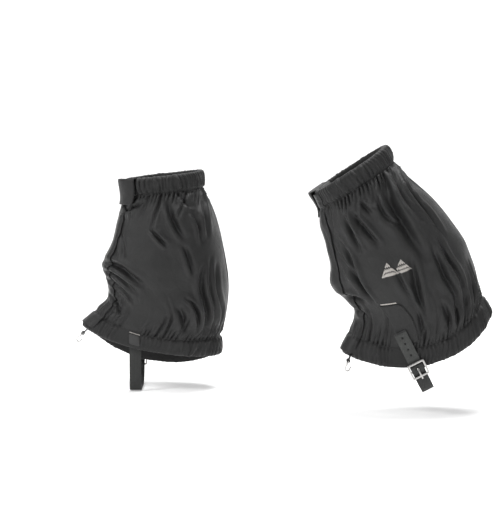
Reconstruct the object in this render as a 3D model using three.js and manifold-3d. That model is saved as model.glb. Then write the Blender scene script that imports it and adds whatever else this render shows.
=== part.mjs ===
// A pair of low hiking gaiters in the shape they take when worn over a boot and trouser leg.
// Millimetres, +Z up. The toes point to -X and the heels to +X. Each gaiter has its own frame:
// its origin is the middle of the instep strap's upper face, where the arch of the boot rests,
// and +Y is the outer (lateral) side of the foot. The right gaiter's frame is the part's frame.
// The left gaiter is its mirror image, set beside it with the heel lifted in mid-step.
import * as THREE from "three";
import { mergeVertices } from "three/addons/utils/BufferGeometryUtils.js";
import Module from "manifold-3d";

const wasm = await Module();
wasm.setup();

// Overall sizes of one gaiter
const REAR_HEIGHT = 250; // hem to rim, up the back
const FRONT_HEIGHT = 201; // hem to rim, up the front
const HEM_REAR_Z = 47; // the hem above the strap, at the back
const HEM_FRONT_Z = 84; // and at the front, where it climbs the instep
const HEM_WIDTH = 106;
const BODY_WIDTH = 122; // the ballooned middle
const RIM_WIDTH = 101; // round the trouser leg

// Cloth, elastic and tape
const FABRIC = 1.5;
const GAP = 0.3; // between pieces that touch
const LAID = 0.5; // between a flat piece and the curve it is sewn on
const CASING_WALL = 1.2;
const BAND_THICK = 1.4;
const HEM_CUFF = 27; // height of the hem's elastic casing
const RIM_CUFF = 25; // height of the rim's elastic casing
const CASING_EDGE = 2.5; // turned edge above and below the band's channel
const BAND_INSET = 3; // from the casing's end to the band's end
const TAPE = 1.0;
const FLAP_SHORT = 3; // how far the flap stops short of the hem and the rim
const TAPE_SHORT = 3; // and the tapes of the flap's ends

// Front closure, widths round the leg from the front centre line, + towards the outer side
const FLAP_OUTER = 22;
const FLAP_INNER = -26;
const PANEL_OUTER_EDGE = 19; // where the outer panel stops under the flap
const UNDERLAP_EDGE = 16; // where the inner panel stops under the flap
const TAPE_MARGIN = 5; // from the flap's edges to its tapes
const TAB_ROOT = -6; // where the closure tab is sewn to the flap
const TAB_END = -44;
const TAB_HEIGHT = 38;
const TAB_THICK = 2.2;

// Instep strap and buckle
const STRAP_WIDTH = 16;
const STRAP_THICK = 1.0;
const ARCH_FLAT = 52; // flat run of the strap under the boot
const ARCH_RADIUS = 11;
const STRAP_TOP_INSIDE = 21; // how far the strap's sewn end runs up inside the hem
const BUCKLE_Z = 32;
const BUCKLE_HEIGHT = 19.5;
const BUCKLE_WIRE = 2.3;
const BUCKLE_SIDE = 1.2; // room beside the strap in the frame
const BUCKLE_WIDTH = STRAP_WIDTH + 2 * (BUCKLE_SIDE + BUCKLE_WIRE);
const BUCKLE_CORNER = 2;
const BAR_RADIUS = 1.1;
const ROCK_ROOM = 0.7; // lets the buckle rock a little on its loop
const WEBBING = 1.6; // the anchor's two plies sewn together
const PLY = 1.1; // one ply round a bar
const ANCHOR_RISE = 52; // top of the anchor above the buckle's bar
const PRONG = 1.8;
const PRONG_OVER = 2.4; // how far the prong passes the frame
const PRONG_SIDE = 0.45; // room beside the prong in the strap's slot
const SLOT_DROP = 5; // how far the slot runs below the middle bar
const TAIL_LENGTH = 38;
const TAIL_CORNER = 1.2;
const TAIL_CLEAR = 2.2; // from the frame's edge to where the tail can swing
const HOLE_RADIUS = 1.5;
const HOLE_PITCH = 8;
const HOLE_COUNT = 4;

// Patches and stitching on the outer and inner sides
const PATCH_WIDTH = 28;
const PATCH_X = 4;
const PATCH_ABOVE_HEM = 31;
const PATCH_HEIGHT = 42;
const PATCH_THICK = 1.2;
const TACK_LENGTH = 24;
const TACK_WIDTH = 2.2;
const TACK_THICK = 0.8;
const BOX_WIDTH = 15;
const BOX_ABOVE_HEM = 5.5;
const BOX_HEIGHT = 17;
const BOX_THICK = 1.2;
const EMBLEM_WIDTH = 42;
const EMBLEM_HEIGHT = 20;
const EMBLEM_THICK = 0.8;
const EMBLEM_ABOVE_HEM = 111; // its middle
const EMBLEM_X = 31;

// Lace hook
const HOOK_METAL = 1.4; // thickness of its slotted head
const HOOK_STRIP = 1.2; // and of its curl
const HOOK_WIDTH = 7;
const HOOK_ARM = 1.9; // metal at each end of the head's slot
const HOOK_BAR = 1.5; // metal left beyond the slot
const HOOK_SLOT = 3.2;
const HOOK_REACH = 13;
const HOOK_BEND = 2.8;
const HOOK_RETURN = 4; // how far the hook's tip comes back up
const LACE_TAB = 9; // width of its webbing tab
const HOOK_HEAD = LACE_TAB + 4 * GAP + 2 * HOOK_ARM;
const LACE_DROP = 8; // the hook's bar below the hem
const LACE_TAB_UP = 15; // how far the tab runs up inside the hem
const LACE_BOW = 0.8; // room for the hem's curve over the flat tab

// Where the left gaiter stands
const LEFT_AHEAD = 391; // behind the right one, along the walk
const LEFT_BESIDE = -200;
const LEFT_TILT = 27; // degrees
const BALL_AHEAD = 70; // the ball of the foot in front of the strap
const SOLE_BELOW = 8; // the ground below the strap's upper face

// The worn outline from hem to rim: t is the share of the height, lift its share of the front and
// rear heights, front and rear the x of the ring's ends, wide its width, nose how much narrower
// its front is, and dip how far it sags at the inner and outer sides.
const STATIONS = [
  { t: 0, front: -72, rear: 116, lift: [0, 0], wide: HEM_WIDTH, nose: 0.3, dip: [11, 36] },
  { t: 0.108, front: -52, rear: 114, lift: [0.09, 0.108], wide: HEM_WIDTH + 4, nose: 0.28, dip: [13, 34] },
  { t: 0.24, front: -34, rear: 122, lift: [0.2, 0.228], wide: BODY_WIDTH - 4, nose: 0.2, dip: [9, 20] },
  { t: 0.4, front: -37, rear: 125, lift: [0.408, 0.385], wide: BODY_WIDTH, nose: 0.12, dip: [5, 9] },
  { t: 0.59, front: -26, rear: 118, lift: [0.6, 0.58], wide: BODY_WIDTH, nose: 0.08, dip: [1, 1] },
  { t: 0.76, front: -18, rear: 107, lift: [0.76, 0.757], wide: BODY_WIDTH - 6, nose: 0.05, dip: [0, 0] },
  { t: 0.9, front: -12, rear: 91, lift: [0.885, 0.9], wide: RIM_WIDTH + 1, nose: 0.03, dip: [0, 0] },
  { t: 1, front: -13, rear: 91, lift: [1, 1], wide: RIM_WIDTH, nose: 0.03, dip: [0, 0] },
];
const RING_POWER = 2 / 2.25; // squares the rings a little

const UP = new THREE.Vector3(0, 0, 1);
const SIDE = new THREE.Vector3(0, 1, 0);
const OUTWARD = SIDE.clone().negate(); // the third axis of a plate that faces the side
const ALONG = new THREE.Vector3(1, 0, 0);

// ---- The worn surface -------------------------------------------------------------------------

const STATION_VALUES = STATIONS.flatMap((s) => [
  s.front,
  s.rear,
  HEM_FRONT_Z + FRONT_HEIGHT * s.lift[0],
  HEM_REAR_Z + REAR_HEIGHT * s.lift[1],
  s.wide / 2,
  s.nose,
  ...s.dip,
]);
const VALUES_EACH = STATION_VALUES.length / STATIONS.length;
const stationSpline = new THREE.CubicInterpolant(
  STATIONS.map((s) => s.t),
  STATION_VALUES,
  VALUES_EACH,
);

// A point of the ring at height share t. The angle is 0 at the front and grows to the outer side.
function onRing(angle, t) {
  const [front, rear, frontZ, rearZ, half, nose, dipInner, dipOuter] = stationSpline.evaluate(t);
  const c = Math.cos(angle);
  const s = Math.sin(angle);
  const middle = (front + rear) / 2;
  const reach = (rear - front) / 2;
  const narrow = 1 - nose * ((1 + c) / 2) ** 2;
  const dip = (s > 0 ? dipOuter : dipInner) * s * s;
  return new THREE.Vector3(
    middle - reach * Math.sign(c) * Math.abs(c) ** RING_POWER,
    half * narrow * Math.sign(s) * Math.abs(s) ** RING_POWER,
    frontZ + ((rearZ - frontZ) * (1 - c)) / 2 - dip,
  );
}

const RING_STEPS = 180;
const ringCache = new Map();

// Lengths round one side of the ring, from the front centre to the back centre.
function ringLengths(t, side) {
  const key = `${t.toFixed(6)} ${side}`;
  if (!ringCache.has(key)) {
    const lengths = [0];
    let last = onRing(0, t);
    for (let i = 1; i <= RING_STEPS; i++) {
      const next = onRing((side * Math.PI * i) / RING_STEPS, t);
      lengths.push(lengths[i - 1] + next.distanceTo(last));
      last = next;
    }
    ringCache.set(key, lengths);
  }
  return ringCache.get(key);
}

const halfGirth = (t, side) => ringLengths(t, side)[RING_STEPS];

// The angle at a distance round the ring from the front centre, + to the outer side.
function angleAt(distance, t) {
  const side = distance < 0 ? -1 : 1;
  const lengths = ringLengths(t, side);
  const wanted = Math.min(Math.abs(distance), lengths[RING_STEPS]);
  let i = lengths.findIndex((l) => l >= wanted);
  i = Math.max(i, 1);
  const share = (wanted - lengths[i - 1]) / (lengths[i] - lengths[i - 1]);
  return (side * Math.PI * (i - 1 + share)) / RING_STEPS;
}

const NUDGE = 0.004;

function outwardAt(angle, t) {
  const low = Math.max(t - NUDGE, 0);
  const high = Math.min(t + NUDGE, 1);
  const up = onRing(angle, high).sub(onRing(angle, low));
  const round = onRing(angle + NUDGE, t).sub(onRing(angle - NUDGE, t));
  return up.cross(round).normalize();
}

// A point at a distance round the ring, off the cloth's outer face by off.
function onCloth(distance, t, off = 0) {
  const angle = angleAt(distance, t);
  return onRing(angle, t).addScaledVector(outwardAt(angle, t), off);
}

// The distance round the ring at which it reaches x, on one side.
function distanceAtX(x, t, side) {
  let low = 0;
  let high = halfGirth(t, side);
  for (let i = 0; i < 40; i++) {
    const middle = (low + high) / 2;
    if (onRing(angleAt(side * middle, t), t).x < x) low = middle;
    else high = middle;
  }
  return side * low;
}

// The height share at which the ring reaches z, at x on one side.
function shareAtZ(z, x, side) {
  let low = 0;
  let high = 1;
  for (let i = 0; i < 40; i++) {
    const middle = (low + high) / 2;
    if (onCloth(distanceAtX(x, middle, side), middle).z < z) low = middle;
    else high = middle;
  }
  return low;
}

// ---- Solids -----------------------------------------------------------------------------------

const steps = (from, to, count) =>
  Array.from({ length: count + 1 }, (_, i) => from + ((to - from) * i) / count);

// Rows and columns that all the cloth shares, so that layers of it lie flat on each other.
const HEM_TOP = HEM_CUFF / REAR_HEIGHT;
const RIM_BOTTOM = 1 - RIM_CUFF / REAR_HEIGHT;
const EDGE_GAP = (2 * GAP) / REAR_HEIGHT;
const BODY_FROM = HEM_TOP + EDGE_GAP;
const BODY_TO = RIM_BOTTOM - EDGE_GAP;
const ROWS = [...steps(0, HEM_TOP, 2), ...steps(BODY_FROM, BODY_TO, 9), ...steps(RIM_BOTTOM, 1, 2)];
const FRONT_ZONE = 45; // even columns on both sides of the front, FRONT_STEP apart
const FRONT_STEP = 5;
const BACK_COLUMNS = 8; // from there to the back, on each side
const CLOSEST = 1; // a column nearer to a piece's edge than this is left out

function rowsBetween(from, to) {
  const closest = CLOSEST / REAR_HEIGHT;
  return [from, ...ROWS.filter((t) => t > from + closest && t < to - closest), to];
}

function columnsOf(t) {
  const side = (half) => [
    ...steps(FRONT_STEP, FRONT_ZONE, FRONT_ZONE / FRONT_STEP - 1),
    ...steps(FRONT_ZONE, half, BACK_COLUMNS).slice(1),
  ];
  return [...side(halfGirth(t, -1)).map((d) => -d).reverse(), 0, ...side(halfGirth(t, 1))];
}

const columnsBetween = (from, to, t) => [
  from,
  ...columnsOf(t).filter((d) => d > from + CLOSEST && d < to - CLOSEST),
  to,
];

// A closed piece of cloth: columns(t) gives the distances of its points round the leg, rows its
// heights, and layers how far its inner and outer faces stand off the outline.
function slab(columns, rows, layers) {
  const positions = layers.flatMap((off) =>
    rows.flatMap((t) => columns(t).flatMap((distance) => onCloth(distance, t, off).toArray())),
  );
  const wide = columns(rows[0]).length;
  const last = rows.length - 1;
  const at = (i, j, k) => (k * rows.length + j) * wide + i;
  const index = [];
  const quad = (a, b, c, d) => index.push(a, c, b, a, d, c);
  for (let j = 0; j < last; j++)
    for (let i = 0; i < wide - 1; i++) {
      quad(at(i, j, 1), at(i + 1, j, 1), at(i + 1, j + 1, 1), at(i, j + 1, 1));
      quad(at(i, j, 0), at(i, j + 1, 0), at(i + 1, j + 1, 0), at(i + 1, j, 0));
    }
  for (let i = 0; i < wide - 1; i++) {
    quad(at(i, 0, 0), at(i + 1, 0, 0), at(i + 1, 0, 1), at(i, 0, 1));
    quad(at(i, last, 0), at(i, last, 1), at(i + 1, last, 1), at(i + 1, last, 0));
  }
  for (let j = 0; j < last; j++) {
    quad(at(0, j, 0), at(0, j, 1), at(0, j + 1, 1), at(0, j + 1, 0));
    quad(at(wide - 1, j, 0), at(wide - 1, j + 1, 0), at(wide - 1, j + 1, 1), at(wide - 1, j, 1));
  }
  return new THREE.BufferGeometry()
    .setAttribute("position", new THREE.Float32BufferAttribute(positions, 3))
    .setIndex(index);
}

// A slab between two distances from the front centre.
const strip = (from, to, fromT, toT, layers) =>
  slab((t) => columnsBetween(from, to, t), rowsBetween(fromT, toT), layers);

function solidOf(geometry) {
  const bare = geometry.clone();
  bare.deleteAttribute("normal");
  bare.deleteAttribute("uv");
  const merged = mergeVertices(bare, 1e-4);
  return new wasm.Manifold(
    new wasm.Mesh({
      numProp: 3,
      vertProperties: merged.attributes.position.array,
      triVerts: new Uint32Array(merged.index.array),
    }),
  );
}

function geometryOf(solid) {
  const mesh = solid.getMesh();
  return new THREE.BufferGeometry()
    .setAttribute("position", new THREE.BufferAttribute(mesh.vertProperties, 3))
    .setIndex(new THREE.BufferAttribute(mesh.triVerts, 1));
}

const cut = (from, ...tools) =>
  geometryOf(tools.reduce((solid, tool) => solid.subtract(solidOf(tool)), solidOf(from)));
const join = (...parts) =>
  geometryOf(parts.map(solidOf).reduce((whole, part) => whole.add(part)));

// A flat outline given thickness about its own plane, then laid in the frame of three axes.
function plate(shape, thickness, right, up, out, origin, curveSegments = 6) {
  return new THREE.ExtrudeGeometry(shape, { depth: thickness, bevelEnabled: false, curveSegments })
    .translate(0, 0, -thickness / 2)
    .applyMatrix4(new THREE.Matrix4().makeBasis(right, up, out).setPosition(origin));
}

// The outline of a band of even thickness that follows a line of points.
function ribbon(points, thickness) {
  const left = [];
  const right = [];
  points.forEach((p, i) => {
    const before = points[Math.max(i - 1, 0)];
    const after = points[Math.min(i + 1, points.length - 1)];
    const ahead = after.clone().sub(before).normalize();
    const normal = new THREE.Vector2(-ahead.y, ahead.x).multiplyScalar(thickness / 2);
    left.push(p.clone().add(normal));
    right.unshift(p.clone().sub(normal));
  });
  return new THREE.Shape([...left, ...right]);
}

function roundedBox(width, height, radius, into = new THREE.Shape()) {
  const x = width / 2 - radius;
  const y = height / 2 - radius;
  into.moveTo(x + radius, -y);
  into.absarc(x, y, radius, 0, Math.PI / 2);
  into.absarc(-x, y, radius, Math.PI / 2, Math.PI);
  into.absarc(-x, -y, radius, Math.PI, 1.5 * Math.PI);
  into.absarc(x, -y, radius, 1.5 * Math.PI, 2 * Math.PI);
  return into;
}

const disc = (radius) => new THREE.Shape().absarc(0, 0, radius, 0, 2 * Math.PI);
const v2 = (x, y) => new THREE.Vector2(x, y);

// ---- Body and cuffs ---------------------------------------------------------------------------

const CUFF_THICK = 2 * CASING_WALL + BAND_THICK + 2 * GAP;
const BACK_GAP = GAP; // each panel stops this far from the seam up the back

function outerPanel() {
  const columns = (t) => columnsBetween(PANEL_OUTER_EDGE, halfGirth(t, 1) - BACK_GAP, t);
  return slab(columns, rowsBetween(BODY_FROM, BODY_TO), [-FABRIC, 0]);
}

function innerPanel() {
  const columns = (t) => columnsBetween(BACK_GAP - halfGirth(t, -1), UNDERLAP_EDGE, t);
  return slab(columns, rowsBetween(BODY_FROM, BODY_TO), [-FABRIC, 0]);
}

// A cuff runs from the outer panel's edge round the back to the underlap's edge, open between.
function cuffRing(fromT, toT, layers, inset, edge) {
  const margin = edge / REAR_HEIGHT;
  const columns = (t) => [
    ...columnsBetween(PANEL_OUTER_EDGE + inset, halfGirth(t, 1), t),
    ...columnsBetween(-halfGirth(t, -1), UNDERLAP_EDGE - inset, t).slice(1),
  ];
  return slab(columns, rowsBetween(fromT + margin, toT - margin), layers);
}

function casing(fromT, toT) {
  const channel = [CASING_WALL - CUFF_THICK, -CASING_WALL];
  const through = -2; // the channel runs out past both ends
  return cut(
    cuffRing(fromT, toT, [-CUFF_THICK, 0], 0, 0),
    cuffRing(fromT, toT, channel, through, CASING_EDGE),
  );
}

function elasticBand(fromT, toT) {
  const layers = [CASING_WALL + GAP - CUFF_THICK, -CASING_WALL - GAP];
  return cuffRing(fromT, toT, layers, BAND_INSET, CASING_EDGE + 2 * GAP);
}

// ---- Front closure ----------------------------------------------------------------------------

// How far each layer of the closure stands off the cloth, from the inside out.
const layerOn = (below, thickness) => [below[1] + GAP, below[1] + GAP + thickness];
const CLOTH_OFF = [-FABRIC, 0];
const LOOP_OFF = layerOn(CLOTH_OFF, TAPE);
const HOOK_OFF = layerOn(LOOP_OFF, TAPE);
const FLAP_OFF = layerOn(HOOK_OFF, FABRIC);
const TAB_OFF = layerOn(FLAP_OFF, TAB_THICK);

const FLAP_FROM = FLAP_SHORT / REAR_HEIGHT;
const FLAP_TO = 1 - FLAP_FROM;
const TAPE_FROM = FLAP_FROM + TAPE_SHORT / REAR_HEIGHT;
const TAPE_TO = 1 - TAPE_FROM;
const TAPE_INNER = FLAP_INNER + TAPE_MARGIN;
const TAPE_OUTER = UNDERLAP_EDGE - TAPE_SHORT;
const TAB_FROM = 1 - TAB_HEIGHT / FRONT_HEIGHT;
const PATCH_INNER = TAB_END + TAPE_SHORT;
const PATCH_OUTER = FLAP_INNER - TAPE_SHORT;
const PATCH_UNDER = [LOOP_OFF[1] + GAP, TAB_OFF[0] - GAP];

const frontFlap = () => strip(FLAP_INNER, FLAP_OUTER, FLAP_FROM, FLAP_TO, FLAP_OFF);
const loopTape = () => strip(TAPE_INNER, TAPE_OUTER, TAPE_FROM, TAPE_TO, LOOP_OFF);
const hookTape = () => strip(TAPE_INNER, TAPE_OUTER, TAPE_FROM, TAPE_TO, HOOK_OFF);
const closureTab = () => strip(TAB_END, TAB_ROOT, TAB_FROM, 1, TAB_OFF);
const cuffLoop = () => strip(PATCH_INNER, PATCH_OUTER, RIM_BOTTOM, TAPE_TO, LOOP_OFF);
const tabHook = () => strip(PATCH_INNER, PATCH_OUTER, RIM_BOTTOM, TAPE_TO, PATCH_UNDER);

// ---- Instep strap and buckle, drawn in a plane across the foot ---------------------------------

// The strap's plane: across the foot to the right, up, and its thickness along the foot.
const across = (shape, width, segments) =>
  plate(shape, width, SIDE, UP, ALONG, new THREE.Vector3(), segments);

const halfStrap = STRAP_WIDTH / 2;

// How far out the outer side and its patch stand where the anchor climbs them.
const outOver = (t, x) => onCloth(distanceAtX(x, t, 1), t, t < HEM_TOP ? 0 : LAID + PATCH_THICK).y;
const sideReach = Math.max(
  ...steps(0, shareAtZ(BUCKLE_Z + ANCHOR_RISE, halfStrap, 1), 24).flatMap((t) =>
    [-halfStrap, 0, halfStrap].map((x) => outOver(t, x)),
  ),
);

// Distances out from the buckle's bar: the strap passes behind the frame, the anchor behind that.
const STRAP_BEHIND = -(BUCKLE_WIRE / 2 + ROCK_ROOM + STRAP_THICK / 2);
const ANCHOR_BEHIND = STRAP_BEHIND - STRAP_THICK / 2 - GAP - WEBBING / 2;
const BUCKLE_Y = sideReach + LAID + WEBBING / 2 - ANCHOR_BEHIND;
const BAR_LOOP = BAR_RADIUS + GAP; // inner radius of the webbing round the bar
const STRAP_OVER = BAR_LOOP + PLY + GAP + STRAP_THICK / 2; // the strap in front of the bar
const FRAME_BAR = BUCKLE_HEIGHT / 2 - BUCKLE_WIRE / 2; // middle of the frame's upper and lower bars
const TAIL_FROM = BUCKLE_HEIGHT / 2 + TAIL_CLEAR;
const PRONG_REST = BUCKLE_WIRE / 2 + GAP + PRONG / 2; // the prong lies on the frame's lower bar

// From the buckle's own out and up to the plane across the foot.
const fromBuckle = (out, up) => v2(BUCKLE_Y + out, BUCKLE_Z + up);

// The inner face of the hem on the inner side, where the strap's other end is sewn.
const insideHem = (t, x) => onCloth(distanceAtX(x, t, -1), t, -CUFF_THICK);
const hemInnerZ = insideHem(0, 0).z;
const hemInnerY = Math.max(
  ...steps(0, HEM_TOP, 4).flatMap((t) => [-halfStrap, 0, halfStrap].map((x) => insideHem(t, x).y)),
);
const STRAP_INSIDE_Y = hemInnerY + 2 * LAID + STRAP_THICK / 2;

// The strap's middle line: from its sewn end down the inner side, under the arch, up the outer
// side, behind the frame's lower bar, over the middle bar and behind the upper bar.
function strapLine() {
  const low = -STRAP_THICK / 2;
  const corner = ARCH_FLAT / 2;
  const bend = STRAP_OVER / Math.SQRT2; // where the 45 degree run meets the turn over the bar
  const crossing = bend * 2 - STRAP_BEHIND; // where that run starts, behind the frame
  const line = new THREE.Path();
  line.moveTo(STRAP_INSIDE_Y, hemInnerZ + STRAP_TOP_INSIDE);
  line.lineTo(STRAP_INSIDE_Y, hemInnerZ);
  line.bezierCurveTo(STRAP_INSIDE_Y, hemInnerZ / 2, -corner - ARCH_RADIUS, low, -corner, low);
  line.lineTo(corner, low);
  const behind = fromBuckle(STRAP_BEHIND, -crossing);
  const foot = fromBuckle(STRAP_BEHIND, -BUCKLE_HEIGHT / 2 - 1);
  line.bezierCurveTo(corner + ARCH_RADIUS, low, foot.x, foot.y / 2, foot.x, foot.y);
  line.lineTo(behind.x, behind.y);
  const bar = fromBuckle(0, 0);
  line.absarc(bar.x, bar.y, STRAP_OVER, -Math.PI / 4, Math.PI / 4, false);
  const above = fromBuckle(STRAP_BEHIND, crossing);
  line.lineTo(above.x, above.y);
  line.lineTo(STRAP_BEHIND + BUCKLE_Y, BUCKLE_Z + TAIL_FROM - GAP);
  return line.getPoints(12);
}

// The slot leaves room for the prong from where it rests to where it stands straight out.
function instepStrap() {
  const reach = 2 * STRAP_OVER;
  const rise = PRONG_REST + PRONG / 2 + GAP;
  const slot = roundedBox(2 * reach, rise + SLOT_DROP, 0.5);
  const middle = fromBuckle(reach - 1, (rise - SLOT_DROP) / 2);
  const tool = across(slot, PRONG + 2 * PRONG_SIDE).translate(0, middle.x, middle.y);
  return cut(across(ribbon(strapLine(), STRAP_THICK), STRAP_WIDTH), tool);
}

function strapTail() {
  const start = fromBuckle(STRAP_BEHIND, TAIL_FROM);
  const outline = roundedBox(STRAP_WIDTH, TAIL_LENGTH, TAIL_CORNER);
  for (let i = 1; i <= HOLE_COUNT; i++) {
    const hole = new THREE.Path();
    hole.absarc(0, i * HOLE_PITCH - TAIL_LENGTH / 2, HOLE_RADIUS, 0, 2 * Math.PI, true);
    outline.holes.push(hole);
  }
  const middle = new THREE.Vector3(0, start.x, start.y + TAIL_LENGTH / 2);
  return plate(outline, STRAP_THICK, ALONG, UP, OUTWARD, middle, 4);
}

// The anchor's webbing goes round the middle bar and up the side, behind the strap.
function buckleAnchor() {
  const width = STRAP_WIDTH;
  const collar = BAR_LOOP + PLY;
  const line = [
    v2(-BAR_LOOP - PLY / 2, 0),
    v2(ANCHOR_BEHIND, FRAME_BAR / 2),
    v2(ANCHOR_BEHIND, FRAME_BAR),
    v2(ANCHOR_BEHIND, ANCHOR_RISE),
  ];
  const webbingShape = join(
    across(disc(collar), width, 10),
    across(ribbon(line, WEBBING), width),
  );
  const prongRoom = across(roundedBox(4 * collar, 2 * (collar + GAP), GAP), PRONG + 4 * GAP);
  const bore = across(disc(BAR_LOOP), 2 * width, 10);
  return cut(webbingShape, bore, prongRoom.translate(0, collar - GAP, 0)).translate(0, BUCKLE_Y, BUCKLE_Z);
}

function buckleFrame() {
  const outline = roundedBox(BUCKLE_WIDTH, BUCKLE_HEIGHT, BUCKLE_CORNER);
  const inside = (size) => size - 2 * BUCKLE_WIRE;
  outline.holes.push(
    roundedBox(inside(BUCKLE_WIDTH), inside(BUCKLE_HEIGHT), BUCKLE_CORNER / 2, new THREE.Path()),
  );
  const frame = plate(outline, BUCKLE_WIRE, ALONG, UP, OUTWARD, new THREE.Vector3(), 3);
  const bar = across(disc(BAR_RADIUS), BUCKLE_WIDTH - BUCKLE_WIRE, 10);
  return join(frame, bar).translate(0, BUCKLE_Y, BUCKLE_Z);
}

function buckleProng() {
  const line = [v2(PRONG_REST, -GAP), v2(PRONG_REST, -BUCKLE_HEIGHT / 2 - PRONG_OVER)];
  const eye = across(disc(BAR_LOOP + PLY), PRONG, 8);
  const bore = across(disc(BAR_LOOP), 2 * PRONG, 8);
  return cut(join(eye, across(ribbon(line, PRONG), PRONG)), bore).translate(0, BUCKLE_Y, BUCKLE_Z);
}

// ---- Patches, stitching and emblem -------------------------------------------------------------

// A piece sewn on one side, centred at x, between two height shares.
function sewnOn(x, side, width, fromT, toT, thickness) {
  const columns = (t) => {
    const middle = distanceAtX(x, t, side);
    return steps(middle - width / 2, middle + width / 2, Math.ceil(width / FRONT_STEP));
  };
  return slab(columns, rowsBetween(fromT, toT), [LAID, LAID + thickness]);
}

const PATCH_FROM = PATCH_ABOVE_HEM / REAR_HEIGHT;
const PATCH_TO = PATCH_FROM + PATCH_HEIGHT / REAR_HEIGHT;
const tackTop = (bottom) => bottom + TACK_WIDTH / REAR_HEIGHT;
const sideTackFrom = PATCH_TO + EDGE_GAP;
const BOX_FROM = BOX_ABOVE_HEM / REAR_HEIGHT;
const BOX_TO = BOX_FROM + BOX_HEIGHT / REAR_HEIGHT;
const innerTackFrom = BOX_TO + EDGE_GAP;
const EMBLEM_FROM = (EMBLEM_ABOVE_HEM - EMBLEM_HEIGHT / 2) / REAR_HEIGHT;
const EMBLEM_TO = EMBLEM_FROM + EMBLEM_HEIGHT / REAR_HEIGHT;

const sidePatch = () => sewnOn(PATCH_X, 1, PATCH_WIDTH, PATCH_FROM, PATCH_TO, PATCH_THICK);
const sideTack = () =>
  sewnOn(PATCH_X, 1, TACK_LENGTH, sideTackFrom, tackTop(sideTackFrom), TACK_THICK);
const strapBox = () => sewnOn(0, -1, BOX_WIDTH, BOX_FROM, BOX_TO, BOX_THICK);
const innerTack = () =>
  sewnOn(0, -1, TACK_LENGTH, innerTackFrom, tackTop(innerTackFrom), TACK_THICK);
const emblem = () => sewnOn(EMBLEM_X, 1, EMBLEM_WIDTH, EMBLEM_FROM, EMBLEM_TO, EMBLEM_THICK);

// ---- Lace hook, drawn in the plane along the foot ----------------------------------------------

// The tab runs down inside the front of the hem and round the bar of the hook's slotted head.
const LACE_OFF = -CUFF_THICK - LAID - LACE_BOW - WEBBING / 2;
const insideFront = (t) => onCloth(0, t, LACE_OFF);
const downInstep = insideFront(0).sub(insideFront(HEM_TOP / 2)).normalize();
const acrossHook = SIDE.clone().negate();
const intoInstep = new THREE.Vector3().crossVectors(acrossHook, downInstep);
const hookBar = insideFront(0).addScaledVector(downInstep, LACE_DROP);

const alongInstep = (shape, width, segments = 8) =>
  plate(shape, width, downInstep, intoInstep, acrossHook, hookBar, segments);

function laceTab() {
  const up = steps(LACE_TAB_UP / REAR_HEIGHT, 0, 3).map((t) => {
    const p = insideFront(t).sub(hookBar);
    return v2(p.dot(downInstep), p.dot(intoInstep));
  });
  const collar = alongInstep(disc(BAR_LOOP + PLY), LACE_TAB, 10);
  const tab = alongInstep(ribbon([...up, v2(0, 0)], WEBBING), LACE_TAB);
  return cut(join(collar, tab), alongInstep(disc(BAR_LOOP), 2 * LACE_TAB, 10));
}

function laceHook() {
  const straight = HOOK_REACH - HOOK_BEND;
  const bend = steps(0, Math.PI, 8).map((a) =>
    v2(straight + HOOK_BEND * Math.sin(a), HOOK_BEND * (1 - Math.cos(a))),
  );
  const start = v2(HOOK_BAR / 2 + HOOK_SLOT, 0);
  const end = v2(straight - HOOK_RETURN, 2 * HOOK_BEND);
  const hook = alongInstep(ribbon([start, ...bend, end], HOOK_STRIP), HOOK_WIDTH);
  const headLength = 2 * HOOK_BAR + HOOK_SLOT;
  const middle = hookBar.clone().addScaledVector(downInstep, (HOOK_BAR + HOOK_SLOT) / 2);
  const lay = (shape, thickness) =>
    plate(shape, thickness, downInstep, SIDE, intoInstep, middle, 4);
  const head = lay(roundedBox(headLength, HOOK_HEAD, 1.2), HOOK_METAL);
  const slot = lay(roundedBox(HOOK_SLOT, LACE_TAB + 4 * GAP, GAP), 2 * HOOK_METAL);
  return cut(join(head, hook), slot);
}

// ---- One gaiter, then the pair -----------------------------------------------------------------

const finish = (color, roughness, metalness = 0) =>
  new THREE.MeshStandardMaterial({ color, roughness, metalness });
const cloth = finish(0x2b2b2d, 0.62);
const cuffCloth = finish(0x262628, 0.68);
const elastic = finish(0x1d1d1e, 0.85);
const tapeBlack = finish(0x18181a, 0.95);
const webbing = finish(0x303233, 0.75);
const strapCoat = finish(0x4a4c4b, 0.6);
const thread = finish(0x9b9c9c, 0.55);
const nickel = finish(0xb9bbbd, 0.3, 1);

const PIECES = [
  ["outer_panel", outerPanel, cloth],
  ["inner_panel", innerPanel, cloth],
  ["top_cuff", () => casing(RIM_BOTTOM, 1), cuffCloth],
  ["top_elastic", () => elasticBand(RIM_BOTTOM, 1), elastic],
  ["hem_cuff", () => casing(0, HEM_TOP), cuffCloth],
  ["hem_elastic", () => elasticBand(0, HEM_TOP), elastic],
  ["front_loop_tape", loopTape, tapeBlack],
  ["front_flap", frontFlap, cloth],
  ["flap_hook_tape", hookTape, tapeBlack],
  ["closure_tab", closureTab, cuffCloth],
  ["tab_hook_patch", tabHook, tapeBlack],
  ["cuff_loop_patch", cuffLoop, tapeBlack],
  ["side_patch", sidePatch, cloth],
  ["side_bartack", sideTack, thread],
  ["buckle_anchor", buckleAnchor, webbing],
  ["buckle_frame", buckleFrame, nickel],
  ["buckle_prong", buckleProng, nickel],
  ["instep_strap", instepStrap, strapCoat],
  ["strap_tail", strapTail, strapCoat],
  ["strap_box_patch", strapBox, webbing],
  ["inner_bartack", innerTack, thread],
  ["lace_hook_tab", laceTab, webbing],
  ["lace_hook", laceHook, nickel],
  ["emblem", emblem, thread],
].map(([name, make, material]) => [name, make(), material]);

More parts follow.
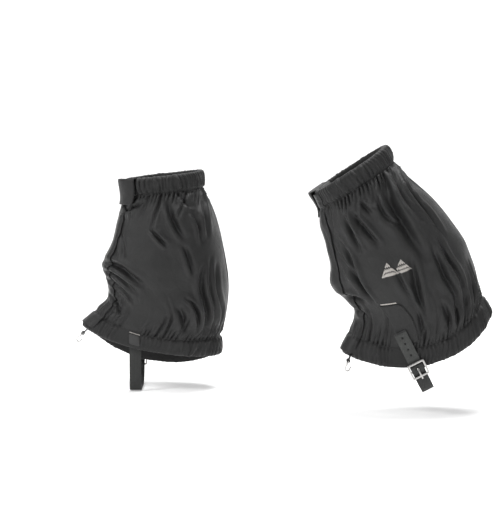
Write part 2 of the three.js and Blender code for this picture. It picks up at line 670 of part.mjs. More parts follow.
function gaiter(side) {
  const group = new THREE.Group();
  for (const [name, geometry, material] of PIECES) {
    const mesh = new THREE.Mesh(geometry, material);
    mesh.name = `${side}_${name}`;
    group.add(mesh);
  }
  return group;
}

const right = gaiter("right");
const left = gaiter("left");
left.scale.y = -1;
// The left gaiter turns about the ball of the foot, which stays on the ground.
left.position.set(BALL_AHEAD, 0, SOLE_BELOW);
const leftFoot = new THREE.Group();
leftFoot.add(left);
leftFoot.rotation.y = -THREE.MathUtils.degToRad(LEFT_TILT);
leftFoot.position.set(LEFT_AHEAD - BALL_AHEAD, LEFT_BESIDE, -SOLE_BELOW);

const pair = new THREE.Group();
pair.add(right, leftFoot);

export default pair;
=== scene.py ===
"""Looks for a pair of low hiking gaiters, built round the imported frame.

Lengths on the cloth are millimetres: "round" is the distance round the leg from the front centre,
+ towards the outer side of the foot, and "up" the height above the hem up the back. Each gaiter is
drawn in its own frame, as in the CAD part, and then placed in the part's frame in metres.
"""

import math
import random

import bmesh
import bpy
import numpy as np
from mathutils import Matrix, Vector


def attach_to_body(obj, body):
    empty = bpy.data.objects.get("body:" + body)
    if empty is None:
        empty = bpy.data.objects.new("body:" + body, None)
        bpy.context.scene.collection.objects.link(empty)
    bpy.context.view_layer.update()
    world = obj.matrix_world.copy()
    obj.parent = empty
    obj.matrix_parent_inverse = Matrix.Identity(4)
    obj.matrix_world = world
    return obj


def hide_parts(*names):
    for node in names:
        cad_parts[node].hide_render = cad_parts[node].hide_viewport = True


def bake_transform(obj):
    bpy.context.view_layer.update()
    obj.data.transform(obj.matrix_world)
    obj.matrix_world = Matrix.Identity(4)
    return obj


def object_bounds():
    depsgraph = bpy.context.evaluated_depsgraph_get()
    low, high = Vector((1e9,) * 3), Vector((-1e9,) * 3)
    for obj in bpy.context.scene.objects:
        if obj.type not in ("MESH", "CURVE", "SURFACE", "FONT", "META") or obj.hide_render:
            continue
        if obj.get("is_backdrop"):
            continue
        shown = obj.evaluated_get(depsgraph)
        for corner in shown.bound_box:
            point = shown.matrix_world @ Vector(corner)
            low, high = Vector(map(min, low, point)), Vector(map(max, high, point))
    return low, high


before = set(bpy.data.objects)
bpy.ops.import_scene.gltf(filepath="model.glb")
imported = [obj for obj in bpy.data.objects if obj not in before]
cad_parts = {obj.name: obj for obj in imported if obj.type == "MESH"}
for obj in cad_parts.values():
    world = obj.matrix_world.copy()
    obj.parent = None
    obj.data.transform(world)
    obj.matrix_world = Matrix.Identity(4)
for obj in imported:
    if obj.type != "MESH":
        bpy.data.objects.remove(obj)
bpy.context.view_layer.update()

bl_info = {
    "name": "Low Hiking Gaiters",
    "version": (1, 0, 0),
    "blender": (4, 5, 0),
    "location": "View3D > Sidebar > Gaiters",
    "description": "Gathered cloth, straps, buckles and stitching for a pair of low gaiters",
    "category": "Object",
}

MM = 0.001
SIDES = ("right", "left")

# ---- The worn outline, as in the CAD part -----------------------------------------------------

REAR_HEIGHT = 250
FRONT_HEIGHT = 201
HEM_REAR_Z = 47
HEM_FRONT_Z = 84
RING_POWER = 2 / 2.25
HEM_CUFF = 27
RIM_CUFF = 25
CASING_THICK = 4.4
FLAP_INNER = -26
FLAP_OUTER = 22
OUTER_PANEL_EDGE = 19
UNDERLAP_EDGE = 16

# Each station: height share, x of the ring's front and rear, shares of the front and rear heights,
# width, how much narrower the front is, and how far the ring sags at its inner and outer sides.
STATIONS = (
    (0, -72, 116, 0, 0, 106, 0.3, 11, 36),
    (0.108, -52, 114, 0.09, 0.108, 110, 0.28, 13, 34),
    (0.24, -34, 122, 0.2, 0.228, 118, 0.2, 9, 20),
    (0.4, -37, 125, 0.408, 0.385, 122, 0.12, 5, 9),
    (0.59, -26, 118, 0.6, 0.58, 122, 0.08, 1, 1),
    (0.76, -18, 107, 0.76, 0.757, 116, 0.05, 0, 0),
    (0.9, -12, 91, 0.885, 0.9, 102, 0.03, 0, 0),
    (1, -13, 91, 1, 1, 101, 0.03, 0, 0),
)

# The left gaiter is the mirror image, its heel lifted about the ball of the foot.
BALL_AHEAD = 70
SOLE_BELOW = 8
LEFT_PIVOT = Vector((321, -200, -8))
LEFT_TILT = math.radians(-27)


def placing(side):
    """From a gaiter's own frame in millimetres to the part's frame in metres."""
    scale = Matrix.Scale(MM, 4)
    if side == "right":
        return scale
    foot = Matrix.Translation((BALL_AHEAD, 0, SOLE_BELOW)) @ Matrix.Diagonal((1, -1, 1, 1))
    return scale @ Matrix.Translation(LEFT_PIVOT) @ Matrix.Rotation(LEFT_TILT, 4, "Y") @ foot


class Outline:
    """The worn surface of one gaiter, read by distance round the leg and height share."""

    ROWS = 161
    STEPS = 181
    NUDGE = 0.004

    def __init__(self):
        table = np.array(STATIONS, float)
        self.knots = table[:, 0]
        self.values = table[:, 1:]
        slopes = np.diff(self.values, axis=0) / np.diff(self.knots)[:, None]
        self.tangents = np.vstack([slopes[:1], (slopes[1:] + slopes[:-1]) / 2, slopes[-1:]])
        self.shares = np.linspace(0, 1, self.ROWS)
        angles = np.linspace(0, math.pi, self.STEPS)
        self.girths = {}
        self.angles = {}
        for side in (-1, 1):
            ring = self.ring(side * angles[None, :], self.shares[:, None])
            runs = np.linalg.norm(np.diff(ring, axis=1), axis=2)
            lengths = np.hstack([np.zeros((self.ROWS, 1)), np.cumsum(runs, axis=1)])
            self.girths[side] = lengths[:, -1]
            even = np.linspace(0, 1, self.STEPS)
            rows = [np.interp(even * row[-1], row, angles) for row in lengths]
            self.angles[side] = np.array(rows)

    def station(self, t):
        """The stations' values at height shares, on smooth curves through them."""
        i = np.clip(np.searchsorted(self.knots, t, side="right") - 1, 0, len(self.knots) - 2)
        span = self.knots[i + 1] - self.knots[i]
        p = ((t - self.knots[i]) / span)[..., None]
        span = span[..., None]
        return (
            (1 + 2 * p) * (1 - p) ** 2 * self.values[i]
            + p * (1 - p) ** 2 * span * self.tangents[i]
            + p * p * (3 - 2 * p) * self.values[i + 1]
            + p * p * (p - 1) * span * self.tangents[i + 1]
        )

    def ring(self, angle, t):
        """Points of the ring at angles from the front centre."""
        front, rear, lift_front, lift_rear, wide, nose, dip_inner, dip_outer = np.moveaxis(
            self.station(np.asarray(t, float)), -1, 0
        )
        c = np.cos(angle)
        s = np.sin(angle)
        front_z = HEM_FRONT_Z + FRONT_HEIGHT * lift_front
        rear_z = HEM_REAR_Z + REAR_HEIGHT * lift_rear
        x = (front + rear) / 2 - (rear - front) / 2 * np.sign(c) * abs(c) ** RING_POWER
        narrow = 1 - nose * ((1 + c) / 2) ** 2
        y = wide / 2 * narrow * np.sign(s) * abs(s) ** RING_POWER
        dip = np.where(s > 0, dip_outer, dip_inner) * s * s
        z = front_z + (rear_z - front_z) * (1 - c) / 2 - dip
        return np.stack(np.broadcast_arrays(x, y, z), axis=-1)

    def girth(self, t, side):
        """Round one side, from the front centre to the back centre."""
        return np.interp(t, self.shares, self.girths[side])

    def angle(self, distance, t):
        """The ring's angle at distances round."""
        distance, t = np.broadcast_arrays(np.asarray(distance, float), np.asarray(t, float))
        row = np.clip(t, 0, 1) * (self.ROWS - 1)
        low = np.minimum(row.astype(int), self.ROWS - 2)
        found = np.zeros(distance.shape)
        for side in (-1, 1):
            share = np.clip(abs(distance) / self.girth(t, side), 0, 1) * (self.STEPS - 1)
            left = np.minimum(share.astype(int), self.STEPS - 2)
            across = share - left
            table = self.angles[side]
            below = table[low, left] * (1 - across) + table[low, left + 1] * across
            above = table[low + 1, left] * (1 - across) + table[low + 1, left + 1] * across
            angle = below + (above - below) * (row - low)
            found = np.where(np.sign(distance) == side, side * angle, found)
        return found

    def point(self, distance, t, off):
        """Points at distances round the leg and height shares, off the cloth's outer face."""
        angle = self.angle(distance, t)
        t = np.asarray(t, float)
        up = self.ring(angle, np.minimum(t + self.NUDGE, 1)) - self.ring(
            angle, np.maximum(t - self.NUDGE, 0)
        )
        along = self.ring(angle + self.NUDGE, t) - self.ring(angle - self.NUDGE, t)
        out = np.cross(up, along)
        out /= np.linalg.norm(out, axis=-1, keepdims=True)
        beyond = np.clip(t, 0, 1)
        base = self.ring(angle, beyond)
        over = ((t - beyond) * REAR_HEIGHT)[..., None]
        rise = up / np.linalg.norm(up, axis=-1, keepdims=True) * over
        return base + rise + out * np.asarray(off, float)[..., None]


OUTLINE = Outline()

# ---- Folds ------------------------------------------------------------------------------------


def hump(x, at, reach, power=2):
    """A smooth hump, 1 at its middle and falling away past its reach."""
    return np.exp(-(((x - at) / reach) ** power))


# Creases of each gaiter: points (round, up) along the crease, its half width and its depth.
CREASES = {
    "right": (
        (((-61, 216), (-40, 206), (-4, 184)), 4.5, 2.4),
        (((-76, 172), (-93, 156), (-105, 147)), 3.2, 2.6),
        (((-100, 227), (-116, 209), (-128, 202)), 3.5, 2.0),
        (((-90, 216), (-99, 195), (-114, 172), (-127, 158)), 5.0, 3.0),
        (((-143, 225), (-150, 192), (-159, 159)), 5.0, 2.6),
        (((-125, 152), (-138, 130), (-148, 112)), 4.5, 2.4),
        (((-126, 200), (-141, 180), (-152, 153)), 4.5, 2.2),
        (((12, 108), (-15, 107), (-45, 106), (-65, 98), (-83, 91)), 5.5, 3.6),
        (((4, 99), (-26, 97), (-46, 91), (-63, 83), (-73, 77)), 3.5, 2.4),
        (((0, 92), (-25, 84), (-51, 75), (-67, 56)), 3.5, 2.6),
        (((0, 72), (-26, 61), (-49, 39)), 4.0, 2.2),
        (((-67, 41), (-85, 33)), 3.0, 1.6),
        (((-134, 84), (-143, 75), (-150, 62)), 3.0, 2.0),
        (((-123, 73), (-131, 55), (-141, 38)), 6.0, 3.0),
        (((-142, 81), (-148, 62), (-158, 38)), 3.5, 2.0),
        (((-160, 130), (-161, 81), (-167, 32)), 6.0, 3.0),
        (((-168, 140), (-173, 88), (-176, 35)), 4.0, 2.0),
        (((-181, 130), (-186, 80), (-196, 35)), 5.0, 2.4),
        (((-26, 161), (-40, 138), (-49, 116)), 5.0, 1.6),
        (((60, 215), (75, 180), (82, 130)), 5.0, 2.4),
        (((95, 222), (120, 170), (138, 120)), 5.5, 2.8),
        (((130, 224), (150, 180), (165, 120)), 5.0, 2.4),
        (((12, 104), (45, 100), (75, 88)), 5.5, 3.2),
        (((10, 92), (40, 82), (62, 62)), 4.0, 2.4),
        (((160, 120), (168, 80), (170, 35)), 5.5, 2.6),
        (((120, 80), (128, 55), (132, 34)), 4.5, 2.2),
    ),
    "left": (
        (((49, 205), (56, 172), (62, 138)), 4.5, 2.8),
        (((60, 204), (74, 170), (87, 139)), 4.5, 2.8),
        (((28, 178), (45, 131), (50, 73)), 5.0, 2.6),
        (((24, 152), (44, 112), (52, 76)), 4.0, 2.0),
        (((73, 215), (81, 197), (90, 183)), 3.5, 2.0),
        (((94, 216), (103, 175), (118, 152)), 4.0, 2.4),
        (((110, 225), (115, 184), (127, 139), (142, 103)), 8.5, 4.4),
        (((125, 225), (134, 181), (150, 144)), 5.0, 2.6),
        (((131, 218), (145, 170), (158, 132)), 4.5, 2.4),
        (((142, 212), (158, 159), (173, 117)), 5.0, 2.4),
        (((122, 123), (118, 97), (106, 72), (102, 48)), 6.0, 3.0),
        (((148, 127), (154, 98), (149, 77), (152, 44)), 5.5, 3.0),
        (((161, 130), (166, 83), (160, 48)), 5.0, 2.6),
        (((100, 116), (99, 86), (91, 59)), 4.0, 1.8),
        (((14, 195), (16, 161), (18, 120), (20, 96)), 4.0, 1.8),
        (((0, 88), (20, 86), (40, 78)), 5.5, 3.4),
        (((-4, 72), (15, 66), (32, 56)), 4.5, 2.6),
        (((96, 75), (98, 53), (108, 30)), 4.5, 2.4),
        (((128, 64), (136, 45), (143, 28)), 4.5, 2.4),
        (((146, 52), (153, 28)), 3.5, 2.0),
        (((165, 60), (167, 28)), 4.0, 2.2),
        (((183, 56), (185, 28)), 4.0, 2.2),
        (((-60, 215), (-78, 170), (-86, 125)), 5.0, 2.6),
        (((-100, 222), (-120, 175), (-140, 120)), 6.5, 3.4),
        (((-135, 222), (-152, 170), (-166, 110)), 5.0, 2.4),
        (((-12, 98), (-45, 94), (-80, 82)), 5.5, 3.2),
        (((-10, 84), (-40, 74), (-60, 56)), 4.0, 2.4),
        (((-150, 110), (-155, 70), (-160, 32)), 5.5, 2.6),
        (((-110, 78), (-120, 52), (-126, 32)), 4.5, 2.2),
    ),
}

# Where the cloth stands further out than the outline: (round, up) of the middle, reach round and
# up, and height.
SWELLS = {
    "right": (
        (-30, 118, 34, 14, 2.0),
        (0, 103, 30, 11, 4.5),
        (-200, 118, 40, 40, -1.0),
        (0, 4, 30, 16, 2.0),
    ),
    "left": (
        (0, 196, 28, 24, 6.0),
        (0, 150, 28, 28, 4.5),
        (0, 104, 26, 17, 8.0),
        (0, 66, 24, 8, -1.5),
        (0, 4, 34, 20, 4.5),
        (170, 190, 45, 26, -4.5),
        (-170, 190, 45, 26, -4.5),
        (200, 62, 40, 34, -2.0),
        (-200, 62, 40, 34, -2.0),
    ),
}
# How far the cloth draws in at the hem's seam and at the rim's.
PINCHES = {"right": (2.6, 2.4), "left": (1.4, 2.0)}

# The straps and their patches: x of the middle and side, how far round they reach, and how high.
STRAP_SPOTS = ((4, 1), (0, -1))
SPOT_REACH = 16
SPOTS_UP = 80


class Relief:
    """How far one gaiter's cloth stands off the worn outline, on a grid of one millimetre."""

    REACH = 260
    LIMIT = 7.5
    CALM = 0.7  # how much the doubled cloth of the flap quiets the folds
    CALM_REACH = 22
    SEAM_REACH = 6
    # Beside a crease's valley: the height, place and width of its two ridges.
    RIDGES = ((0.85, 1.5, 0.8), (0.5, -1.9, 1.3))
    CRISP = 0.8  # how narrow a fold is beside its listed width
    CLOSEST = 3.8  # between two gathers
    WIDEST = 7.0

    def __init__(self, side, sizes):
        self.rng = random.Random(SIDES.index(side) + 11)
        self.round = np.arange(-self.REACH, self.REACH + 1, dtype=float)
        self.up = np.arange(-4, REAR_HEIGHT + 5, dtype=float)
        self.height = np.zeros((len(self.up), len(self.round)))
        for points, width, depth in CREASES[side]:
            self.crease(points, width, depth * sizes.fold_depth)
        self.pleats = {name: self.spaced() for name in ("top", "hem")}
        self.gathers("top", REAR_HEIGHT - RIM_CUFF, -1, sizes.gather_depth)
        self.gathers("hem", HEM_CUFF, 1, sizes.gather_depth)
        self.rumple(sizes.rumple_depth)
        flap_middle = (FLAP_INNER + FLAP_OUTER) / 2
        self.height *= 1 - self.CALM * hump(self.round, flap_middle, self.CALM_REACH, 4)
        self.height *= self.away_from_seam()
        self.height *= 1 - self.under_straps(self.up[:, None])
        at_hem, at_rim = PINCHES[side]
        self.pinch(HEM_CUFF, at_hem)
        self.pinch(REAR_HEIGHT - RIM_CUFF, at_rim)
        self.form = sum(self.swell(*swell) for swell in SWELLS[side])
        self.height = np.clip(self.height + self.form, -self.LIMIT, 1.4 * self.LIMIT)
        self.ruffle = {name: self.ruffles(places) for name, places in self.pleats.items()}
        self.ruffle["hem"] = self.ruffle["hem"] * (1 - self.under_straps(0.0))

    def near(self, points, reach):
        """The part of the grid within reach of some points."""
        low = np.min(points, axis=0) - reach
        high = np.max(points, axis=0) + reach
        columns = np.where((self.round >= low[0]) & (self.round <= high[0]))[0]
        rows = np.where((self.up >= low[1]) & (self.up <= high[1]))[0]
        return slice(rows[0], rows[-1] + 1), slice(columns[0], columns[-1] + 1)

    def crease(self, points, width, depth, from_edge=False):
        """A valley along a line of points, between a steep ridge and a gentle one."""
        width = self.CRISP * width
        points = smooth_line(points)
        rows, columns = self.near(points, 4 * width)
        gx, gy = np.meshgrid(self.round[columns], self.up[rows])
        nearest = np.full(gx.shape, 1e9)
        offset = np.zeros(gx.shape)
        along = np.zeros(gx.shape)
        lengths = np.linalg.norm(np.diff(points, axis=0), axis=1)
        starts = np.concatenate([[0], np.cumsum(lengths)])
        for a, b, start, length in zip(points, points[1:], starts, lengths):
            ahead = (b - a) / length
            p = np.clip((gx - a[0]) * ahead[0] + (gy - a[1]) * ahead[1], 0, length)
            dx = gx - a[0] - ahead[0] * p
            dy = gy - a[1] - ahead[1] * p
            away = np.hypot(dx, dy)
            closer = away < nearest
            nearest = np.where(closer, away, nearest)
            side = np.sign(ahead[0] * dy - ahead[1] * dx)
            offset = np.where(closer, side * away, offset)
            along = np.where(closer, (start + p) / starts[-1], along)
        x = offset / width
        valley = -hump(x, 0, 1)
        steep, gentle = [tall * hump(x, place, wide) for tall, place, wide in self.RIDGES]
        fade = np.cos(np.pi / 2 * along) if from_edge else np.sin(np.pi * along)
        taper = np.clip(fade, 0, 1) ** 0.8
        self.height[rows, columns] += depth * taper * (valley + steep + gentle)

    def away_from_seam(self):
        """The two panels meet in one line up the back, so the folds die out there."""
        share = np.clip(self.up, 0, REAR_HEIGHT)[:, None] / REAR_HEIGHT
        girth = np.where(self.round > 0, OUTLINE.girth(share, 1), OUTLINE.girth(share, -1))
        return 1 - hump(girth - abs(self.round), 0, self.SEAM_REACH)

    def under_straps(self, up):
        """1 where the straps and their patches need the cloth flat, falling to 0 round them."""
        middle = SPOTS_UP / 2
        total = 0
        for x, way in STRAP_SPOTS:
            at = distance_at_x(x, middle, way)
            across = hump(self.round, at, SPOT_REACH, 6)
            total = total + across * hump(np.maximum(up - middle, 0), 0, middle, 6)
        return total

    def spaced(self):
        """Where the gathers of a cuff lie, by distance round."""
        places = [-self.REACH]
        while places[-1] < self.REACH:
            places.append(places[-1] + self.rng.uniform(self.CLOSEST, self.WIDEST))
        return places

    def gathers(self, cuff, edge, way, depth):
        """Folds that run out of a gathered edge and fade."""
        rng = self.rng
        for at in self.pleats[cuff][2:-2]:
            long = rng.random() < 0.3
            length = rng.uniform(28, 60) if long else rng.uniform(9, 26)
            lean = rng.uniform(-0.2, 0.2) * length
            points = (
                (at, edge - way * 3),
                (at + lean * 0.4, edge + way * length * 0.5),
                (at + lean, edge + way * length),
            )
            width = rng.uniform(2.4, 3.4) if long else rng.uniform(1.4, 2.2)
            self.crease(points, width, depth * rng.uniform(0.5, 1.4), from_edge=True)

    def rumple(self, depth):
        """A slow unevenness all over."""
        gx, gy = np.meshgrid(self.round, self.up)
        total = np.zeros(gx.shape)
        for _ in range(14):
            turn = self.rng.uniform(0, math.pi)
            wave = self.rng.uniform(16, 60)
            phase = self.rng.uniform(0, 2 * math.pi)
            run = gx * math.cos(turn) + gy * math.sin(turn)
            bend = 0.8 * np.sin((gx * math.sin(turn) - gy * math.cos(turn)) / 37 + phase)
            total += np.sin(2 * math.pi * run / wave + phase + bend) * wave / 60
        self.height += depth * total / 2

    def swell(self, round_at, up_at, reach_round, reach_up, height):
        """A broad rise, or a hollow where the height is negative."""
        gx, gy = np.meshgrid(self.round, self.up)
        away = ((gx - round_at) / reach_round) ** 2 + ((gy - up_at) / reach_up) ** 2
        return height * np.exp(-away)

    def pinch(self, edge, depth):
        """The cloth draws in where a cuff is sewn to it, and swells again beside the seam."""
        y = self.up[:, None] - edge
        self.height += depth * (0.55 * hump(y, 0, 16) - hump(y, 0, 4.5))

    def ruffles(self, places):
        """The gathers of an elastic casing: round ridges between sharp valleys."""
        total = np.zeros(len(self.round))
        for a, b in zip(places, places[1:]):
            inside = (self.round >= a) & (self.round < b)
            tall = self.rng.uniform(0.3, 1.25) * (b - a) / self.WIDEST
            total[inside] = tall * np.sin(np.pi * (self.round[inside] - a) / (b - a)) ** 0.8
        return total

    def at(self, distance, up, calm=0.0):
        """The cloth's height off the outline at some points. Calm leaves out that share of its folds."""
        x = np.clip(np.asarray(distance, float) + self.REACH, 0, len(self.round) - 1.001)
        y = np.clip(np.asarray(up, float) - self.up[0], 0, len(self.up) - 1.001)
        x, y = np.broadcast_arrays(x, y)
        i = x.astype(int)
        j = y.astype(int)
        fx = x - i
        fy = y - j
        h = self.height * (1 - calm) + self.form * calm
        low = h[j, i] * (1 - fx) + h[j, i + 1] * fx
        high = h[j + 1, i] * (1 - fx) + h[j + 1, i + 1] * fx
        return low * (1 - fy) + high * fy

    def ruffle_at(self, cuff, distance):
        """The height of a cuff's gathers at distances round, from 0 to a little over 1."""
        return np.interp(distance, self.round, self.ruffle[cuff])


def smooth_line(points, pieces=6):
    """Points along a curve through the given ones."""
    p = np.array(points, float)
    padded = np.vstack([2 * p[0] - p[1], p, 2 * p[-1] - p[-2]])
    line = []
    for a, b, c, d in zip(padded, padded[1:], padded[2:], padded[3:]):
        for s in np.arange(pieces) / pieces:
            square = (2 * a - 5 * b + 4 * c - d) * s**2
            cube = (3 * b - a - 3 * c + d) * s**3
            line.append(0.5 * (2 * b + (c - a) * s + square + cube))
    line.append(p[-1])
    return np.array(line)


_reliefs = {}


def relief(side):
    """The relief of one gaiter, made when it is first asked for."""
    if side not in _reliefs:
        _reliefs[side] = Relief(side, bpy.context.scene.gaiter_cloth)
    return _reliefs[side]


def on_cloth(side, distance, up, off=0.0, calm=0.0):
    """Points on a gaiter's cloth with its folds, in the part's frame in metres."""
    distance = np.asarray(distance, float)
    up = np.asarray(up, float)
    stand = np.asarray(off, float) + relief(side).at(distance, up, calm)
    local = OUTLINE.point(distance, up / REAR_HEIGHT, stand)
    place = np.array(placing(side))
    return local @ place[:3, :3].T + place[:3, 3]


# ---- Materials --------------------------------------------------------------------------------


class Wire:
    """A node's output. Arithmetic on it adds the Math nodes that it needs."""

    def __init__(self, finish, socket):
        self.finish = finish
        self.socket = socket

    def _math(self, operation, *values):
        return self.finish.node("ShaderNodeMath", {"operation": operation}, *values)

    def __add__(self, other):
        return self._math("ADD", self, other)

    def __radd__(self, other):
        return self._math("ADD", other, self)

    def __sub__(self, other):
        return self._math("SUBTRACT", self, other)

    def __rsub__(self, other):
        return self._math("SUBTRACT", other, self)

    def __mul__(self, other):
        return self._math("MULTIPLY", self, other)

    def __rmul__(self, other):
        return self._math("MULTIPLY", other, self)

    def sine(self):
        return self._math("SINE", self)

    def axis(self, index):
        """One axis of a vector."""
        return self.finish.node("ShaderNodeSeparateXYZ", None, self, output=index)


class Finish:
    """A material being built round one Principled shader."""

    def __init__(self, name, **constants):
        self.material = bpy.data.materials.new(name)
        self.material.use_nodes = True
        self.tree = self.material.node_tree
        self.shader = self.tree.nodes["Principled BSDF"]
        for socket, value in constants.items():
            self.shader.inputs[socket.replace("_", " ")].default_value = value

    def node(self, kind, settings=None, *values, output=0, **named):
        """Adds a node: its settings first, then the values or links of its sockets."""
        made = self.tree.nodes.new(kind)
        for key, value in (settings or {}).items():
            setattr(made, key, value)
        for key, value in [*enumerate(values), *named.items()]:
            socket = made.inputs[key.replace("_", " ") if isinstance(key, str) else key]
            if isinstance(value, Wire):
                self.tree.links.new(value.socket, socket)
            else:
                socket.default_value = value
        return Wire(self, made.outputs[output])

    def feed(self, socket, wire):
        """Links a wire to one of the shader's sockets."""
        self.tree.links.new(wire.socket, self.shader.inputs[socket])

    def ramp(self, wire, stops):
        """Colours from a number: stops are places and their colours."""
        stops = list(stops)
        made = self.tree.nodes.new("ShaderNodeValToRGB")
        elements = made.color_ramp.elements
        while len(elements) < len(stops):
            elements.new(0.5)
        for element, (place, colour) in zip(elements, stops):
            element.position = place
            element.color = colour
        self.tree.links.new(wire.socket, made.inputs[0])
        return Wire(self, made.outputs[0])

    def place(self):
        """Object coordinates."""
        return self.node("ShaderNodeTexCoord", output="Object")

    def noise(self, scale, detail, roughness, distortion=0.0):
        """A noise on Object coordinates, from 0 to 1."""
        return self.node(
            "ShaderNodeTexNoise",
            None,
            Vector=self.place(),
            Scale=scale,
            Detail=detail,
            Roughness=roughness,
            Distortion=distortion,
        )

    def bump(self, height, distance, strength, below=None):
        """Relief from a height, on top of another bump where one is given."""
        named = {"Strength": strength, "Distance": distance, "Height": height}
        if below:
            named["Normal"] = below
        return self.node("ShaderNodeBump", None, **named)

    def cloth_axes(self):
        """Distance along the cloth's two threads, in metres."""
        uv = self.node("ShaderNodeUVMap", {"uv_map": "cloth"})
        return uv.axis(0), uv.axis(1)

    def tint(self, wire, colour, darker, lighter, stops=(0.3, 0.7)):
        """Colours the surface from darker to lighter by a noise."""
        shades = (between(colour, darker), between(colour, lighter))
        self.feed("Base Color", self.ramp(wire, zip(stops, shades)))

    def rough(self, wire, spread, level):
        """Varies the roughness about its level by a noise."""
        self.feed("Roughness", (wire - 0.5) * spread + level)


def grey(level, warm=0.0, green=0.0):
    """A grey, a little warm or green where asked."""
    return (level * (1 + warm), level * (1 + green), level * (1 - warm), 1)


def between(colour, factor):
    """A colour made lighter or darker."""
    return (*[min(1.0, c * factor) for c in colour[:3]], 1)


def woven(name, colour, pitch, spread, roughness, uneven, sheen, crinkle):
    """Plain-woven cloth, with the colour's unevenness and small crinkles."""
    f = Finish(name, Sheen_Weight=sheen, Sheen_Roughness=0.5, Specular_IOR_Level=0.34)
    u, v = f.cloth_axes()
    turn = 2 * math.pi / pitch
    over = (u * turn).sine() * (v * turn).sine()
    cloud = f.noise(14, 3, 0.55)
    fine = f.noise(170, 4, 0.6)
    tone = cloud * 0.7 + fine * 0.3
    f.tint(tone, colour, 1 - spread, 1 + spread)
    f.rough(fine, uneven, roughness)
    threads = f.bump(over, pitch * 0.12, 0.5)
    crumple = f.noise(95, 3, 0.6, 0.8)
    f.feed("Normal", f.bump(crumple, crinkle, 0.6, threads))
    return f.material


def webbing_finish(name, colour, pitch, roughness):
    """Flat-woven webbing: ribs across it and threads along it, on Object coordinates."""
    f = Finish(name, Specular_IOR_Level=0.4)
    where = f.place()
    turn = 2 * math.pi / pitch
    ribs = (where.axis(2) * turn).sine() * 0.6 + (where.axis(0) * (turn * 0.8)).sine() * 0.4
    wear = f.noise(60, 4, 0.6)
    f.tint(wear, colour, 0.8, 1.2)
    f.rough(wear, 0.25, roughness)
    f.feed("Normal", f.bump(ribs, pitch * 0.15, 0.6))
    return f.material


def metal_finish(name, colour, roughness):
    """Plated metal with a fine brushing and slight tarnish."""
    f = Finish(name, Metallic=1.0)
    brushed = f.noise(900, 3, 0.6)
    cloud = f.noise(120, 3, 0.6)
    f.tint(cloud, colour, 0.82, 1.06, (0.25, 0.7))
    f.rough(brushed, 0.2, roughness)
    f.feed("Normal", f.bump(brushed, 0.00004, 0.4))
    return f.material


def pile_finish(name, colour, scale, roughness):
    """Hook or loop tape: a dense short pile."""
    f = Finish(name, Sheen_Weight=0.4, Sheen_Roughness=0.6)
    cells = f.node("ShaderNodeTexVoronoi", None, Vector=f.place(), Scale=scale)
    cloud = f.noise(70, 3, 0.6)
    f.tint(cloud, colour, 0.7, 1.3)
    f.rough(cloud, 0.1, roughness)
    f.feed("Normal", f.bump(cells, 0.0004, 0.8))
    return f.material


def thread_finish(name, colour, roughness):
    """Twisted thread with a soft shine."""
    f = Finish(name, Sheen_Weight=0.3, Sheen_Roughness=0.4)
    ply = f.noise(1500, 2, 0.5)
    cloud = f.noise(160, 2, 0.5)
    f.tint(cloud, colour, 0.8, 1.1)
    f.rough(ply, 0.2, roughness)
    f.feed("Normal", f.bump(ply, 0.00008, 0.6))
    return f.material


_finishes = {}


def finish(slot):
    """The material of one of the record's slots, made when it is first asked for."""
    if slot in _finishes:
        return _finishes[slot]
    c = bpy.context.scene.gaiter_colours
    pitch = bpy.context.scene.gaiter_cloth.thread_pitch
    makers = {
        "shell_cloth": (woven, c.shell, pitch, 0.16, 0.44, 0.14, 0.05, 0.0012),
        "cuff_cloth": (woven, c.cuff, pitch, 0.16, 0.52, 0.14, 0.05, 0.0009),
        "elastic_band": (webbing_finish, c.elastic, 0.0016, 0.8),
        "fastening_tape": (pile_finish, c.tape, 1200, 0.9),
        "webbing": (webbing_finish, c.webbing, 0.0014, 0.7),
        "coated_strap": (webbing_finish, c.strap, 0.0018, 0.55),
        # The instep strap's finish is the strap colour at half: painted shade for its place under the
        # foot, on the boot's dark side.
        "strap_underfoot": (webbing_finish, between(c.strap, 0.5), 0.0018, 0.6),
        "light_thread": (thread_finish, c.thread, 0.5),
        "nickel": (metal_finish, c.nickel, 0.28),
        "dark_thread": (thread_finish, c.dark_thread, 0.6),
    }
    maker, *values = makers[slot]
    _finishes[slot] = maker(slot, *values)
    return _finishes[slot]


# ---- Making pieces ----------------------------------------------------------------------------


def body(side, part):
    """The name of a body of one gaiter."""
    return f"{side}_{part}"


# A strip beside the flap's sewn edge, between these distances round.
FLAP_BEND = (21, 10)


def attach(piece, side, part):
    """The piece rides on its body; a piece of the flap only has its place baked into its mesh."""
    if part != "flap":
        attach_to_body(piece, body(side, part))
        return
    start, end = [(0, float(on_cloth(side, d, REAR_HEIGHT / 2)[1]), 0) for d in FLAP_BEND]
    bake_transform(piece)


def add_object(name, bm, material):
    """Puts a bmesh in the scene as a smooth object."""
    mesh = bpy.data.meshes.new(name)
    bm.normal_update()
    bm.to_mesh(mesh)
    bm.free()
    mesh.polygons.foreach_set("use_smooth", [True] * len(mesh.polygons))
    mesh.materials.append(material)
    made = bpy.data.objects.new(name, mesh)
    bpy.context.scene.collection.objects.link(made)
    return made


def keep(name, bm, side, part, slot, stands_for=(), material=None):
    """Turns a bmesh into a finished piece on its body."""
    piece = add_object(name, bm, material or finish(slot))
    attach(piece, side, part)
    if stands_for:
        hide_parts(*[f"{side}_{node}" for node in stands_for])
    return piece


def thicken(piece, thickness):
    """Gives a sheet its wall, inwards from its outer face."""
    wall = piece.modifiers.new("wall", "SOLIDIFY")
    wall.thickness = thickness * MM
    wall.offset = -1.0
    wall.use_rim = True


def keep_stitches(name, bm, side, part="gaiter"):
    """Turns rows of stitches into a piece of dark thread."""
    return keep(f"{side}_{name}_stitches", bm, side, part, None, material=finish("dark_thread"))


def lay(sheet, width, length, on):
    """Takes a sheet that lies on another piece and its flat size in millimetres, but only scales the
    size and keeps nothing; the sheet and the piece are not used.
    """
    width * MM
    length * MM


